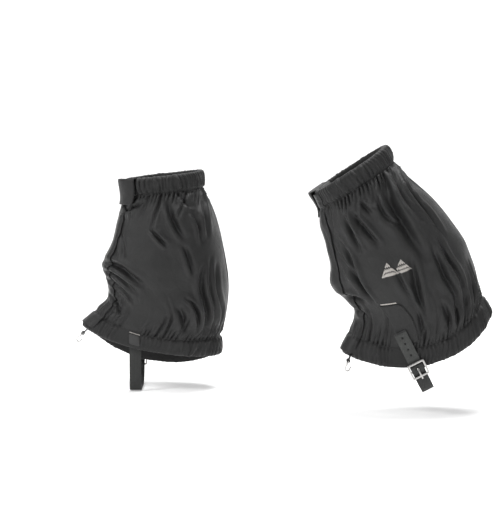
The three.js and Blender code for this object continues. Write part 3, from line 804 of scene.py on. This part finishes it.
def grid(side, wide, high, place):
    """A grid laid out by place(u, v), which gives points, and distances round and up for threads."""
    bm = bmesh.new()
    bmesh.ops.create_grid(bm, x_segments=wide, y_segments=high, size=0.5)
    flat = np.array([v.co for v in bm.verts])
    points, distance, up = place(flat[:, 0] + 0.5, flat[:, 1] + 0.5)
    for vert, point in zip(bm.verts, points):
        vert.co = point
    threads = bm.loops.layers.uv.new("cloth")
    bm.verts.index_update()
    for face in bm.faces:
        for loop in face.loops:
            i = loop.vert.index
            loop[threads].uv = (distance[i] * MM, up[i] * MM)
    if side == "left":
        bmesh.ops.reverse_faces(bm, faces=bm.faces)
    return bm


def patch(side, edges, heights, step, off=0.0, corner=0.0, step_up=None, calm=0.0):
    """A rectangle of cloth between two distances round and two heights, its corners rounded."""
    low, high = heights
    left, right = edges
    middle = np.array((low + high) / 2 / REAR_HEIGHT)

    def reach(edge, t):
        return edge(t) if callable(edge) else np.full(np.shape(t), float(edge))

    width = abs(float(reach(right, middle) - reach(left, middle)))
    wide = max(2, round(width / step))
    tall = max(2, round((high - low) / (step_up or step)))

    def place(u, v):
        up = low + (high - low) * v
        if corner:
            from_end = np.minimum(up - low, high - up)
            bite = np.clip(corner - from_end, 0, corner)
            inset = corner - np.sqrt(np.maximum(corner**2 - bite**2, 0))
        else:
            inset = np.zeros(np.shape(v))
        a = reach(left, up / REAR_HEIGHT) + inset
        b = reach(right, up / REAR_HEIGHT) - inset
        distance = a + (b - a) * u
        stand = off(distance, up) if callable(off) else off
        return on_cloth(side, distance, up, stand, calm), distance, up

    return grid(side, wide, tall, place)


def rear(way, short=0.0):
    """The distance round to the seam up the back, as a function of the height share."""
    return lambda t: way * (OUTLINE.girth(t, way) - short)


# ---- Stitching --------------------------------------------------------------------------------


def add_stitch(bm, a, b, out, radius):
    """One stitch from a to b, raised a little off the cloth."""
    a, b, out = Vector(a), Vector(b), Vector(out)
    along = b - a
    turn = along.to_track_quat("X", "Z").to_matrix().to_4x4()
    size = Matrix.Diagonal((along.length / 2, radius, radius, 1))
    middle = Matrix.Translation((a + b) / 2 + out * radius * 0.4)
    bmesh.ops.create_icosphere(bm, subdivisions=1, radius=1, matrix=middle @ turn @ size)


def lengths_along(line):
    """The distance from a line's start to each of its points."""
    return np.concatenate([[0], np.cumsum(np.linalg.norm(np.diff(line, axis=0), axis=1))])


def sew(bm, side, line, off, pitch=3.0, length=2.2, radius=0.28, calm=0.0):
    """A row of stitches along a line of (round, up) points on the cloth."""
    line = np.array(line, float)
    runs = lengths_along(line)
    starts = np.arange(pitch / 2, runs[-1] - length, pitch)
    ends = starts + length

    def place(s, lift):
        distance = np.interp(s, runs, line[:, 0])
        up = np.interp(s, runs, line[:, 1])
        stand = off(distance, up) if callable(off) else off
        return on_cloth(side, distance, up, stand + lift, calm)

    a, b, lifted = place(starts, 0), place(ends, 0), place(starts, 1)
    for p, q, r in zip(a, b, lifted):
        out = r - p
        add_stitch(bm, p, q, out / np.linalg.norm(out), radius * MM)


def satin(bm, side, line, width, off, pitch, radius, lean):
    """Close strands laid across a line of (round, up) points, as in a bartack."""
    line = np.array(line, float)
    runs = lengths_along(line)
    steps = np.arange(0, runs[-1] + pitch / 2, pitch)
    x = np.interp(steps, runs, line[:, 0])
    y = np.interp(steps, runs, line[:, 1])
    dx = np.gradient(x)
    dy = np.gradient(y)
    size = np.hypot(dx, dy)
    dx, dy = dx / size, dy / size
    across = (dy + lean * dx) * width / 2
    rise = (-dx + lean * dy) * width / 2
    a = on_cloth(side, x + across, y + rise, off)
    b = on_cloth(side, x - across, y - rise, off)
    lifted = on_cloth(side, x, y, off + 1)
    middle = on_cloth(side, x, y, off)
    for p, q, r, m in zip(a, b, lifted, middle):
        out = (r - m) / np.linalg.norm(r - m)
        add_stitch(bm, p, q, out, radius * MM)


def box_line(left, right, low, high, corner):
    """The outline of a box on the cloth, its corners rounded."""
    points = []
    corners = ((right, high, 0), (left, high, 90), (left, low, 180), (right, low, 270))
    for x, y, turn in corners:
        cx = x - corner if x == right else x + corner
        cy = y - corner if y == high else y + corner
        for step in range(5):
            a = math.radians(turn + 22.5 * step)
            points.append((cx + corner * math.cos(a), cy + corner * math.sin(a)))
    return [*points, points[0]]


# ---- Sizes and colours that a user may change --------------------------------------------------


def number(name, description, default, low, high):
    """A plain number."""
    return bpy.props.FloatProperty(
        name=name, description=description, default=default, min=low, max=high
    )


def colour(name, description, default):
    """A colour with its alpha."""
    return bpy.props.FloatVectorProperty(
        name=name, description=description, size=4, subtype="COLOR", default=default
    )


class GaiterCloth(bpy.types.PropertyGroup):
    """Sizes of the cloth and its folds."""

    fold_depth: number("Fold depth", "Scales the big folds", 1.75, 0, 3)
    gather_depth: number("Gather depth", "Depth of the gathers beside the cuffs, in mm", 2.5, 0, 4)
    rumple_depth: number("Rumple", "Slow unevenness of the cloth, in mm", 0.5, 0, 3)
    step: number("Mesh step", "Distance between the cloth's threads of mesh, in mm", 1.9, 1, 8)
    thread_pitch: bpy.props.FloatProperty(
        name="Thread pitch",
        description="Distance between the weave's threads",
        default=0.0008,
        unit="LENGTH",
    )


class GaiterColours(bpy.types.PropertyGroup):
    """Colours of the finishes."""

    shell: colour("Shell cloth", "Coated nylon", grey(0.0078))
    cuff: colour("Cuff cloth", "Casings and tab", grey(0.0058))
    elastic: colour("Elastic", "Bands in the casings", grey(0.012))
    tape: colour("Fastening tape", "Hook and loop", grey(0.012))
    webbing: colour("Webbing", "Anchor and tabs", grey(0.030))
    strap: colour("Strap", "Coated strap", grey(0.036, 0.0, 0.05))
    thread: colour("Light thread", "Bartacks and emblem", grey(0.42, 0.06))
    dark_thread: colour("Seam thread", "Seams", grey(0.020))
    nickel: colour("Nickel", "Buckle and lace hook", grey(0.46, 0.02))


class GaiterStage(bpy.types.PropertyGroup):
    """The floor's colour and the camera's lens."""

    floor: colour("Floor", "Floor and backdrop", grey(0.86))
    lens: bpy.props.FloatProperty(
        name="Lens", description="Focal length in mm", default=137.7, unit="CAMERA"
    )


# ---- Pieces -----------------------------------------------------------------------------------

CLOTH_WALL = 0.8
TUCK = 1.4  # how far the panels run in under the cuffs
FINER = 0.7  # of the mesh step, round the leg


class GAITER_OT_panels(bpy.types.Operator):
    """The outer and inner panels, gathered between the cuffs, and the seam up the back"""

    bl_idname = "gaiter.panels"
    bl_label = "Panels"

    # Name, edges and flat width in metres
    PANELS = (
        ("outer", (OUTER_PANEL_EDGE, rear(1)), 0.23),
        ("inner", (rear(-1), UNDERLAP_EDGE), 0.26),
    )
    FLAT_HEIGHT = 0.21
    LAP = 8
    LAP_OFF = 0.7
    LAP_WALL = 0.6
    LAP_ROWS = (1.6, 6.6)  # the stitch rows, in from the seam

    def execute(self, context):
        step = context.scene.gaiter_cloth.step
        heights = (HEM_CUFF - TUCK, REAR_HEIGHT - RIM_CUFF + TUCK)
        for side in SIDES:
            for name, edges, width in self.PANELS:
                bm = patch(side, edges, heights, FINER * step, step_up=step)
                piece = f"{side}_{name}_panel_cloth"
                cloth = keep(piece, bm, side, "gaiter", "shell_cloth", [f"{name}_panel"])
                thicken(cloth, CLOTH_WALL)
                laps = self.back_seam(side, heights, step) if name == "outer" else []
        return {"FINISHED"}

    def back_seam(self, side, heights, step):
        """A felled seam: a lap of cloth over the joint, with two rows of stitches."""
        bm = patch(side, (rear(1, self.LAP), rear(1, 0.1)), heights, step, off=self.LAP_OFF)
        cloth = keep(f"{side}_back_seam_lap", bm, side, "gaiter", "shell_cloth")
        thicken(cloth, self.LAP_WALL)
        rows = bmesh.new()
        ups = np.linspace(heights[0] + 3, heights[1] - 3, 60)
        for inset in self.LAP_ROWS:
            line = [(OUTLINE.girth(up / REAR_HEIGHT, 1) - inset, up) for up in ups]
            sew(rows, side, line, self.LAP_OFF + 0.05)
        return [cloth, keep_stitches("back_seam", rows, side)]


class GAITER_OT_cuffs(bpy.types.Operator):
    """The ruffled elastic casings at the hem and the rim, and the bands in them"""

    bl_idname = "gaiter.cuffs"
    bl_label = "Cuffs"

    ROUND_STEPS = 40
    COLUMNS = 380
    RUFFLE = 4.8
    CALM = 0.7
    FLAT_LENGTH = 0.42
    LEAN = 0.25  # the gathers lean back as they rise
    WANDER = 1.3  # and wander a little
    SQUARE = (0.45, 0.5)  # how square the casing's section is, up and outwards
    GRIP = (0.9, 0.07)  # where the stitches hold the gathers down, and how far
    EDGE_WAVE = 2.2
    LINING = 300  # keeps the threads of the inner face apart from the outer's
    ROW_IN = 2.5  # the stitch row, in from the casing's sewn edge

    def execute(self, context):
        for side in SIDES:
            self.casing(side, "top_cuff", REAR_HEIGHT - RIM_CUFF, REAR_HEIGHT, 1.0)
            self.casing(side, "hem_cuff", 0, HEM_CUFF, 0.9)
            for name in ("top_elastic", "hem_elastic"):
                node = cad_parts[f"{side}_{name}"]
                node.data.materials.clear()
                node.data.materials.append(finish("elastic_band"))
        return {"FINISHED"}

    def casing(self, side, name, low, high, depth):
        """One casing: a flattened tube whose outer face is gathered."""
        top = name == "top_cuff"
        tall = high - low
        folds = relief(side)

        def place(u, v):
            turn = 2 * np.pi * v
            lift, face = [
                np.sign(wave) * abs(wave) ** power
                for wave, power in zip((np.sin(turn), np.cos(turn)), self.SQUARE)
            ]
            up = (low + high) / 2 + lift * tall / 2
            start, end = -OUTLINE.girth(up / REAR_HEIGHT, -1), OUTLINE.girth(up / REAR_HEIGHT, 1)
            way = u * (end - start - (OUTER_PANEL_EDGE - UNDERLAP_EDGE))
            from_outer = OUTER_PANEL_EDGE + way
            distance = np.where(from_outer > end, from_outer - end + start, from_outer)
            outer = np.clip(face, 0, 1)
            share = (up - low) / tall
            seam = 1 - share if top else share
            grip = 1 - hump(seam, *self.GRIP)
            puff = np.sin(np.pi * np.clip(share, 0, 1)) ** 0.5
            off = (face - 1) * CASING_THICK / 2
            leaning = distance + self.LEAN * np.sign(distance) * (up - (low if top else high))
            sway = 2.5 * np.sin(distance / 13) + distance / 9
            leaning = leaning + self.WANDER * np.sin(up / 4.5 + sway)
            ruffle = folds.ruffle_at("top" if top else "hem", leaning)
            gathered = depth * ruffle * self.RUFFLE * (0.4 + 0.6 * puff) * grip
            off = off + outer * (gathered + 0.1 * puff)
            off = off - np.clip(-face, 0, 1) * 0.5 * ruffle * puff
            edge = np.clip((lift if top else -lift) - 0.6, 0, 1)
            up = up + np.sign(lift) * self.EDGE_WAVE * (ruffle - 0.5) * edge
            points = on_cloth(side, distance, up, off, self.CALM)
            return points, np.where(face > 0, distance, distance + self.LINING), up * (1 + v)

        bm = grid(side, self.COLUMNS, self.ROUND_STEPS, place)
        bmesh.ops.remove_doubles(bm, verts=bm.verts, dist=1e-6)
        cloth = keep(f"{side}_{name}_casing", bm, side, "gaiter", "cuff_cloth", [name])
        thicken(cloth, CLOTH_WALL)
        rows = bmesh.new()
        line_up = low + self.ROW_IN if top else high - self.ROW_IN
        for way, edge in ((1, OUTER_PANEL_EDGE), (-1, UNDERLAP_EDGE - 3)):
            end = float(OUTLINE.girth(line_up / REAR_HEIGHT, way))
            line = [(d, line_up) for d in np.linspace(way * 3 + edge, way * (end - 1), 200)]
            sew(rows, side, line, 0.25, pitch=2.8, calm=self.CALM)
        keep_stitches(name, rows, side)


class GAITER_OT_closure(bpy.types.Operator):
    """The front flap with its tapes, and the closure tab with its patches"""

    bl_idname = "gaiter.closure"
    bl_label = "Front closure"

    # Heights off the cloth of the loop tape, hook tape, flap and tab
    LOOP = 0.8
    HOOK = 2.1
    FLAP = 4.2
    TAB = 6.6
    TAB_TAPE = 4.0
    TAPE_IN = 5  # the tapes' margin inside the flap
    FLAP_DROP = 2.6
    FLAP_EDGE = 3.5
    FLAP_IN = 3  # below the rim and above the hem
    FLAP_ROWS = (2.2, 5.2)
    FLAP_FLAT = (50, 235)
    TAB_FLAT = (45, 40)
    TAB_END = -44
    TAB_ROOT = -7
    TAB_HEIGHT = 47  # on the back's scale, where the shorter front has 38 mm
    TAB_LIFT = 5
    TAB_BOW = 1.5
    TAB_FLARE = 5

    def execute(self, context):
        step = context.scene.gaiter_cloth.step
        for side in SIDES:
            self.tapes(side)
            self.flap(side, step)
            self.tab(side)
        return {"FINISHED"}

    def tapes(self, side):
        inner, outer = FLAP_INNER + self.TAPE_IN, UNDERLAP_EDGE - 3
        low, high = 6, REAR_HEIGHT - 6
        bottom = REAR_HEIGHT - RIM_CUFF
        patch_edges = (self.TAB_END + 3, FLAP_INNER - 3)
        rows = (
            ("front_loop_tape", "gaiter", (inner, outer), (low, high), self.LOOP + 0.4),
            ("flap_hook_tape", "flap", (inner, outer), (low, high), self.HOOK + 0.4),
            ("cuff_loop_patch", "gaiter", patch_edges, (bottom + 1, high), self.LOOP + 0.4),
            ("tab_hook_patch", "tab", patch_edges, (bottom + 1, high), self.TAB_TAPE),
        )
        for name, part, edges, heights, off in rows:
            bm = patch(side, edges, heights, 3.0, off=off, corner=2.0)
            tape = keep(f"{side}_{name}_pile", bm, side, part, "fastening_tape", [name])
            thicken(tape, 1.9 if part == "tab" else 0.8)
            on = f"{side}_inner_panel_cloth" if part == "gaiter" else f"{side}_front_flap_cloth"
            lay(tape, edges[1] - edges[0], heights[1] - heights[0], on)

    def flap_off(self, distance, up):
        """The flap lies on its tapes and drops to the cloth at both edges."""
        from_edge = np.minimum(distance - FLAP_INNER, FLAP_OUTER - distance)
        return self.FLAP - self.FLAP_DROP * hump(from_edge, 0, self.FLAP_EDGE)

    def flap(self, side, step):
        edges = (FLAP_INNER, FLAP_OUTER)
        heights = (self.FLAP_IN, REAR_HEIGHT - self.FLAP_IN)
        bm = patch(side, edges, heights, FINER * step, off=self.flap_off, corner=5.0, step_up=step)
        cloth = keep(f"{side}_front_flap_cloth", bm, side, "flap", "shell_cloth", ["front_flap"])
        thicken(cloth, 1.1)
        lay(cloth, *self.FLAP_FLAT, f"{side}_inner_panel_cloth")
        rows = bmesh.new()
        for inset in self.FLAP_ROWS:
            sew(rows, side, self.inside(edges, heights, inset, 4), self.flap_off)
        keep_stitches("front_flap", rows, side, "flap")

    def inside(self, edges, heights, inset, corner):
        """A rounded line inside the edges of a piece."""
        (left, right), (low, high) = edges, heights
        return densify(box_line(left + inset, right - inset, low + inset, high - inset, corner))

    def tab_off(self, distance, up):
        """The tab bows away from the cuff between its root and its fastened end, most at its top."""
        share = np.clip((distance - self.TAB_END) / (self.TAB_ROOT - self.TAB_END), 0, 1)
        flare = self.TAB_FLARE * np.clip((up - REAR_HEIGHT + self.TAB_HEIGHT) / self.TAB_HEIGHT, 0, 1)
        return self.TAB + (self.TAB_BOW + flare) * np.sin(np.pi * share)

    def tab(self, side):
        edges = (self.TAB_END, self.TAB_ROOT)
        heights = (REAR_HEIGHT - self.TAB_HEIGHT + self.TAB_LIFT, REAR_HEIGHT + self.TAB_LIFT)
        bm = patch(side, edges, heights, 1.6, off=self.tab_off, corner=5.0, calm=1.0)
        cloth = keep(f"{side}_closure_tab_cloth", bm, side, "tab", "cuff_cloth", ["closure_tab"])
        thicken(cloth, 1.7)
        lay(cloth, *self.TAB_FLAT, f"{side}_front_flap_cloth")
        rows = bmesh.new()
        sew(rows, side, self.inside(edges, heights, 2.5, 3), self.tab_off, calm=1.0)
        inner = box_line(edges[0] + 7, edges[0] + 16, heights[0] + 13, heights[1] - 12, 3)
        sew(rows, side, densify(inner), self.tab_off, radius=0.34, calm=1.0)
        keep_stitches("closure_tab", rows, side, "tab")


def densify(line, step=2.0):
    """The same line with a point every step or so."""
    line = np.array(line, float)
    points = []
    for a, b in zip(line, line[1:]):
        count = max(1, int(np.linalg.norm(b - a) / step))
        points += [a + (b - a) * i / count for i in range(count)]
    return np.array([*points, line[-1]])


def distance_at_x(x, up, way):
    """The distance round at which the ring reaches x, on one side."""
    t = up / REAR_HEIGHT
    span = np.linspace(0, float(OUTLINE.girth(t, way)), 241)
    xs = OUTLINE.point(way * span, np.full(241, t), 0)[:, 0]
    return way * float(np.interp(x, xs, span))


class GAITER_OT_patches(bpy.types.Operator):
    """The patches that carry the straps, with their bartacks"""

    bl_idname = "gaiter.patches"
    bl_label = "Patches and bartacks"

    PATCH_X = 4
    PATCH_WIDTH = 28
    PATCH_UP = (31, 73)
    BOX_X = 0
    BOX_WIDTH = 15
    BOX_UP = (5.5, 22.5)
    # Each patch: its name, x, side, width, heights and slot
    PATCHES = (
        ("side_patch", PATCH_X, 1, PATCH_WIDTH, PATCH_UP, "shell_cloth"),
        ("strap_box_patch", BOX_X, -1, BOX_WIDTH, BOX_UP, "webbing"),
    )
    OFF = 1.3
    WALL = 0.9
    ROW_IN = 2
    # Each bartack: its name, x, side, height and length
    BARTACKS = (
        ("side_bartack", PATCH_X, 1, PATCH_UP[1] + 1.7, 20),
        ("inner_bartack", BOX_X, -1, BOX_UP[1] + 1.7, 15),
    )

    def execute(self, context):
        for side in SIDES:
            for values in self.PATCHES:
                self.sewn_patch(side, *values)
            for values in self.BARTACKS:
                self.bartack(side, *values)
        return {"FINISHED"}

    def sewn_patch(self, side, name, x, way, width, ups, slot):
        low, high = ups
        ends = [distance_at_x(x, up, way) for up in ups]

        def edge(half):
            return lambda t: np.interp(t * REAR_HEIGHT, ups, ends) + half

        bm = patch(side, (edge(-width / 2), edge(width / 2)), ups, 1.8, off=self.OFF, corner=1.5)
        cloth = keep(f"{side}_{name}_cloth", bm, side, "gaiter", slot, [name])
        thicken(cloth, self.WALL)
        panel = "outer" if way > 0 else "inner"
        lay(cloth, width, high - low, f"{side}_{panel}_panel_cloth")
        half = width / 2 - self.ROW_IN
        low, high = low + self.ROW_IN, high - self.ROW_IN
        corners = ((-half, low), (half, low), (half, high), (-half, high), (-half, low))
        line = [(float(edge(across)(up / REAR_HEIGHT)), up) for across, up in corners]
        rows = bmesh.new()
        sew(rows, side, densify(line), self.OFF + 0.05)
        keep_stitches(name, rows, side)

    def bartack(self, side, name, x, way, up, length):
        middle = distance_at_x(x, up, way)
        bm = bmesh.new()
        line = densify([(middle - length / 2, up), (middle + length / 2, up)], 1.0)
        satin(bm, side, line, 1.7, 0.8, pitch=0.6, radius=0.36, lean=0.15)
        keep(f"{side}_{name}_thread", bm, side, "gaiter", "light_thread", [name])


class GAITER_OT_emblem(bpy.types.Operator):
    """A small embroidered range of peaks on the outer side"""

    bl_idname = "gaiter.emblem"
    bl_label = "Emblem"

    X = 31
    UP = 111
    # Each peak in millimetres from the emblem's middle: its outline above the base line, and how
    # far under it the snow ends.
    BASE = -8
    PEAKS = (((-20, -8), (-8.5, 8.5), (3, -8)), ((1.5, -1), (9.5, 7), (20, -8)))
    SNOW = 5.2
    STITCH = 5
    PITCH = 0.62

    def execute(self, context):
        for side in SIDES:
            middle = distance_at_x(self.X, self.UP, 1)
            bm = bmesh.new()
            for peak in self.PEAKS:
                xs, ys = np.array(peak).T
                for i, x in enumerate(np.arange(xs[0] + 0.5, xs[-1], self.PITCH)):
                    top = float(np.interp(x, xs, ys))
                    snow = ys.max() - self.SNOW - 1.3 * (i % 4 in (1, 2))
                    for low, high in ((self.BASE, min(top, snow - 1.4)), (snow, top)):
                        self.column(bm, side, middle + x, low, high)
            keep(f"{side}_emblem_thread", bm, side, "gaiter", "light_thread", ["emblem"])
        return {"FINISHED"}

    def column(self, bm, side, x, low, high):
        """Stitches end to end up one line of the emblem."""
        if high - low < 0.8:
            return
        count = math.ceil((high - low) / self.STITCH)
        ups = np.linspace(self.UP + low, self.UP + high, count + 1)
        xs = np.full(count + 1, x)
        points, lifted = on_cloth(side, xs, ups, 0.7), on_cloth(side, xs, ups, 1.7)
        for p, q, r in zip(points, points[1:], lifted):
            out = (r - p) / np.linalg.norm(r - p)
            add_stitch(bm, p, q, out, 0.42 * MM)


def copy_of(side, node, part, slot, edge, material=None):
    """A CAD node's mesh merged, with softened edges, as a piece of its own."""
    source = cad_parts[f"{side}_{node}"]
    bm = bmesh.new()
    bm.from_mesh(source.data)
    bmesh.ops.remove_doubles(bm, verts=bm.verts, dist=2e-6)
    bmesh.ops.dissolve_limit(bm, angle_limit=math.radians(1), verts=bm.verts, edges=bm.edges)
    sharp = [e for e in bm.edges if len(e.link_faces) == 2 and e.calc_face_angle() > math.radians(50)]
    bmesh.ops.bevel(
        bm,
        geom=sharp,
        offset=edge * MM,
        offset_type="OFFSET",
        segments=2,
        profile=0.5,
        affect="EDGES",
        material=-1,
        clamp_overlap=True,
    )
    bmesh.ops.triangulate(bm, faces=[f for f in bm.faces if len(f.verts) > 4])
    return keep(f"{side}_{node}_finished", bm, side, part, slot, [node], material)


class GAITER_OT_straps(bpy.types.Operator):
    """The instep strap with its free end, and the anchor that carries the buckle"""

    bl_idname = "gaiter.straps"
    bl_label = "Straps"

    def execute(self, context):
        for side in SIDES:
            # The instep strap takes the strap colour halved, which is painted shade, not a colour of its
            # own.
            copy_of(side, "instep_strap", "gaiter", "coated_strap", 0.3, finish("strap_underfoot"))
            copy_of(side, "strap_tail", "tail", "coated_strap", 0.3)
            copy_of(side, "buckle_anchor", "gaiter", "webbing", 0.35)
            copy_of(side, "lace_hook_tab", "gaiter", "webbing", 0.35)
        return {"FINISHED"}


class GAITER_OT_metal(bpy.types.Operator):
    """The nickel buckle with its prong, and the lace hook"""

    bl_idname = "gaiter.metal"
    bl_label = "Buckle and lace hook"

    def execute(self, context):
        for side in SIDES:
            copy_of(side, "buckle_frame", "buckle", "nickel", 0.7)
            copy_of(side, "buckle_prong", "prong", "nickel", 0.45)
            copy_of(side, "lace_hook", "hook", "nickel", 0.35)
        return {"FINISHED"}


class GAITER_OT_stage(bpy.types.Operator):
    """Pale floor and backdrop, soft lights and the camera"""

    bl_idname = "gaiter.stage"
    bl_label = "Stage"

    CAMERA = (0.1561, -2.7155, 0.4112)
    PITCH = 5
    SURROUND = 12
    WORLD = 0.46
    # Name, place, aim, size in metres, power in watts
    LIGHTS = (
        ("key", (-1.7, -1.5, 2.0), (0.15, -0.1, 0.15), 0.7, 44),
        ("fill", (2.2, -2.2, 1.2), (0.2, -0.1, 0.15), 1.4, 10),
        ("top", (0.5, 0.1, 2.4), (0.2, -0.1, 0.1), 0.9, 38),
        ("wall", (0.2, 0.4, 3.2), (0.2, 2.6, 0.6), 2.5, 60),
    )

    def execute(self, context):
        scene = context.scene
        look = scene.gaiter_stage
        self.backdrop(look)
        self.surround()
        self.lights(scene)
        self.camera(scene, look)
        scene.view_settings.view_transform = "Standard"
        return {"FINISHED"}

    def lights(self, scene):
        """A dim even world and soft square lights."""
        world = bpy.data.worlds.new("studio")
        world.use_nodes = True
        background = world.node_tree.nodes["Background"]
        background.inputs["Color"].default_value = grey(1.0)
        background.inputs["Strength"].default_value = self.WORLD
        scene.world = world
        for name, place, aim, size, power in self.LIGHTS:
            data = bpy.data.lights.new(name, "AREA")
            data.size = size
            data.energy = power
            light = bpy.data.objects.new(name, data)
            light.location = place
            ahead = Vector(aim) - Vector(place)
            light.rotation_euler = ahead.to_track_quat("-Z", "Y").to_euler()
            scene.collection.objects.link(light)

    def camera(self, scene, look):
        """The camera, tipped a little down."""
        data = bpy.data.cameras.new("camera")
        data.lens = look.lens
        camera = bpy.data.objects.new("camera", data)
        camera.location = self.CAMERA
        camera.rotation_euler = (math.radians(90 - self.PITCH), 0, 0)
        scene.collection.objects.link(camera)
        scene.camera = camera

    def backdrop(self, look):
        """A floor that turns up into a wall behind."""
        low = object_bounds()[0].z - 0.001
        bm = bmesh.new()
        bmesh.ops.create_grid(bm, x_segments=1, y_segments=1, size=4)
        bmesh.ops.translate(bm, verts=bm.verts, vec=(0, -1.4, low))
        edge = [e for e in bm.edges if all(v.co.y > 2 for v in e.verts)]
        for turn in range(5, 95, 10):
            a = math.radians(turn)
            edge = self.extend(bm, edge, (0, 0.2 * math.cos(a), 0.2 * math.sin(a)))
        self.extend(bm, edge, (0, 0, 4))
        f = Finish("backdrop", Roughness=0.9, Specular_IOR_Level=0.1)
        self.glow(f, look.floor, look.floor, 0.26)
        add_object("backdrop", bm, f.material)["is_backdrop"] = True

    def extend(self, bm, edge, move):
        """Extrudes an edge by a move and gives the new one."""
        grown = bmesh.ops.extrude_edge_only(bm, edges=edge)["geom"]
        verts = [g for g in grown if isinstance(g, bmesh.types.BMVert)]
        bmesh.ops.translate(bm, verts=verts, vec=move)
        return [g for g in grown if isinstance(g, bmesh.types.BMEdge)]

    def surround(self):
        """A pale shell that lights nothing, so that every view has a plain pale background."""
        bm = bmesh.new()
        bmesh.ops.create_uvsphere(bm, u_segments=32, v_segments=16, radius=self.SURROUND)
        f = Finish("surround", Roughness=1.0, Specular_IOR_Level=0.0)
        self.glow(f, grey(0), grey(1.0), 1.0)
        surround = add_object("surround", bm, f.material)
        for ray in ("diffuse", "glossy", "transmission", "volume_scatter", "shadow"):
            setattr(surround, f"visible_{ray}", False)
        surround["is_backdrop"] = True

    def glow(self, f, base, emission, strength):
        """Sets a finish's colour and the light that it gives off."""
        f.shader.inputs["Base Color"].default_value = base
        f.shader.inputs["Emission Color"].default_value = emission
        f.shader.inputs["Emission Strength"].default_value = strength


class GAITER_PT_panel(bpy.types.Panel):
    """Sizes, colours and the pieces, in order"""

    bl_idname = "GAITER_PT_panel"
    bl_label = "Gaiters"
    bl_space_type = "VIEW_3D"
    bl_region_type = "UI"
    bl_category = "Gaiters"

    def draw(self, context):
        layout = self.layout
        for holder, group in GROUPS.items():
            for name in group.__annotations__:
                layout.prop(getattr(context.scene, holder), name)
        for operator in OPERATORS:
            layout.operator(operator.bl_idname)


GROUPS = {"gaiter_cloth": GaiterCloth, "gaiter_colours": GaiterColours, "gaiter_stage": GaiterStage}
OPERATORS = (
    GAITER_OT_panels,
    GAITER_OT_cuffs,
    GAITER_OT_closure,
    GAITER_OT_patches,
    GAITER_OT_emblem,
    GAITER_OT_straps,
    GAITER_OT_metal,
    GAITER_OT_stage,
)


def register():
    for cls in (*GROUPS.values(), *OPERATORS, GAITER_PT_panel):
        bpy.utils.register_class(cls)
    for name, group in GROUPS.items():
        setattr(bpy.types.Scene, name, bpy.props.PointerProperty(type=group))


def unregister():
    for name in GROUPS:
        delattr(bpy.types.Scene, name)
    for cls in reversed((*GROUPS.values(), *OPERATORS, GAITER_PT_panel)):
        bpy.utils.unregister_class(cls)


def main():
    register()
    for operator in OPERATORS:
        category, name = operator.bl_idname.split(".")
        getattr(getattr(bpy.ops, category), name)()


if __name__ == "__main__":
    main()
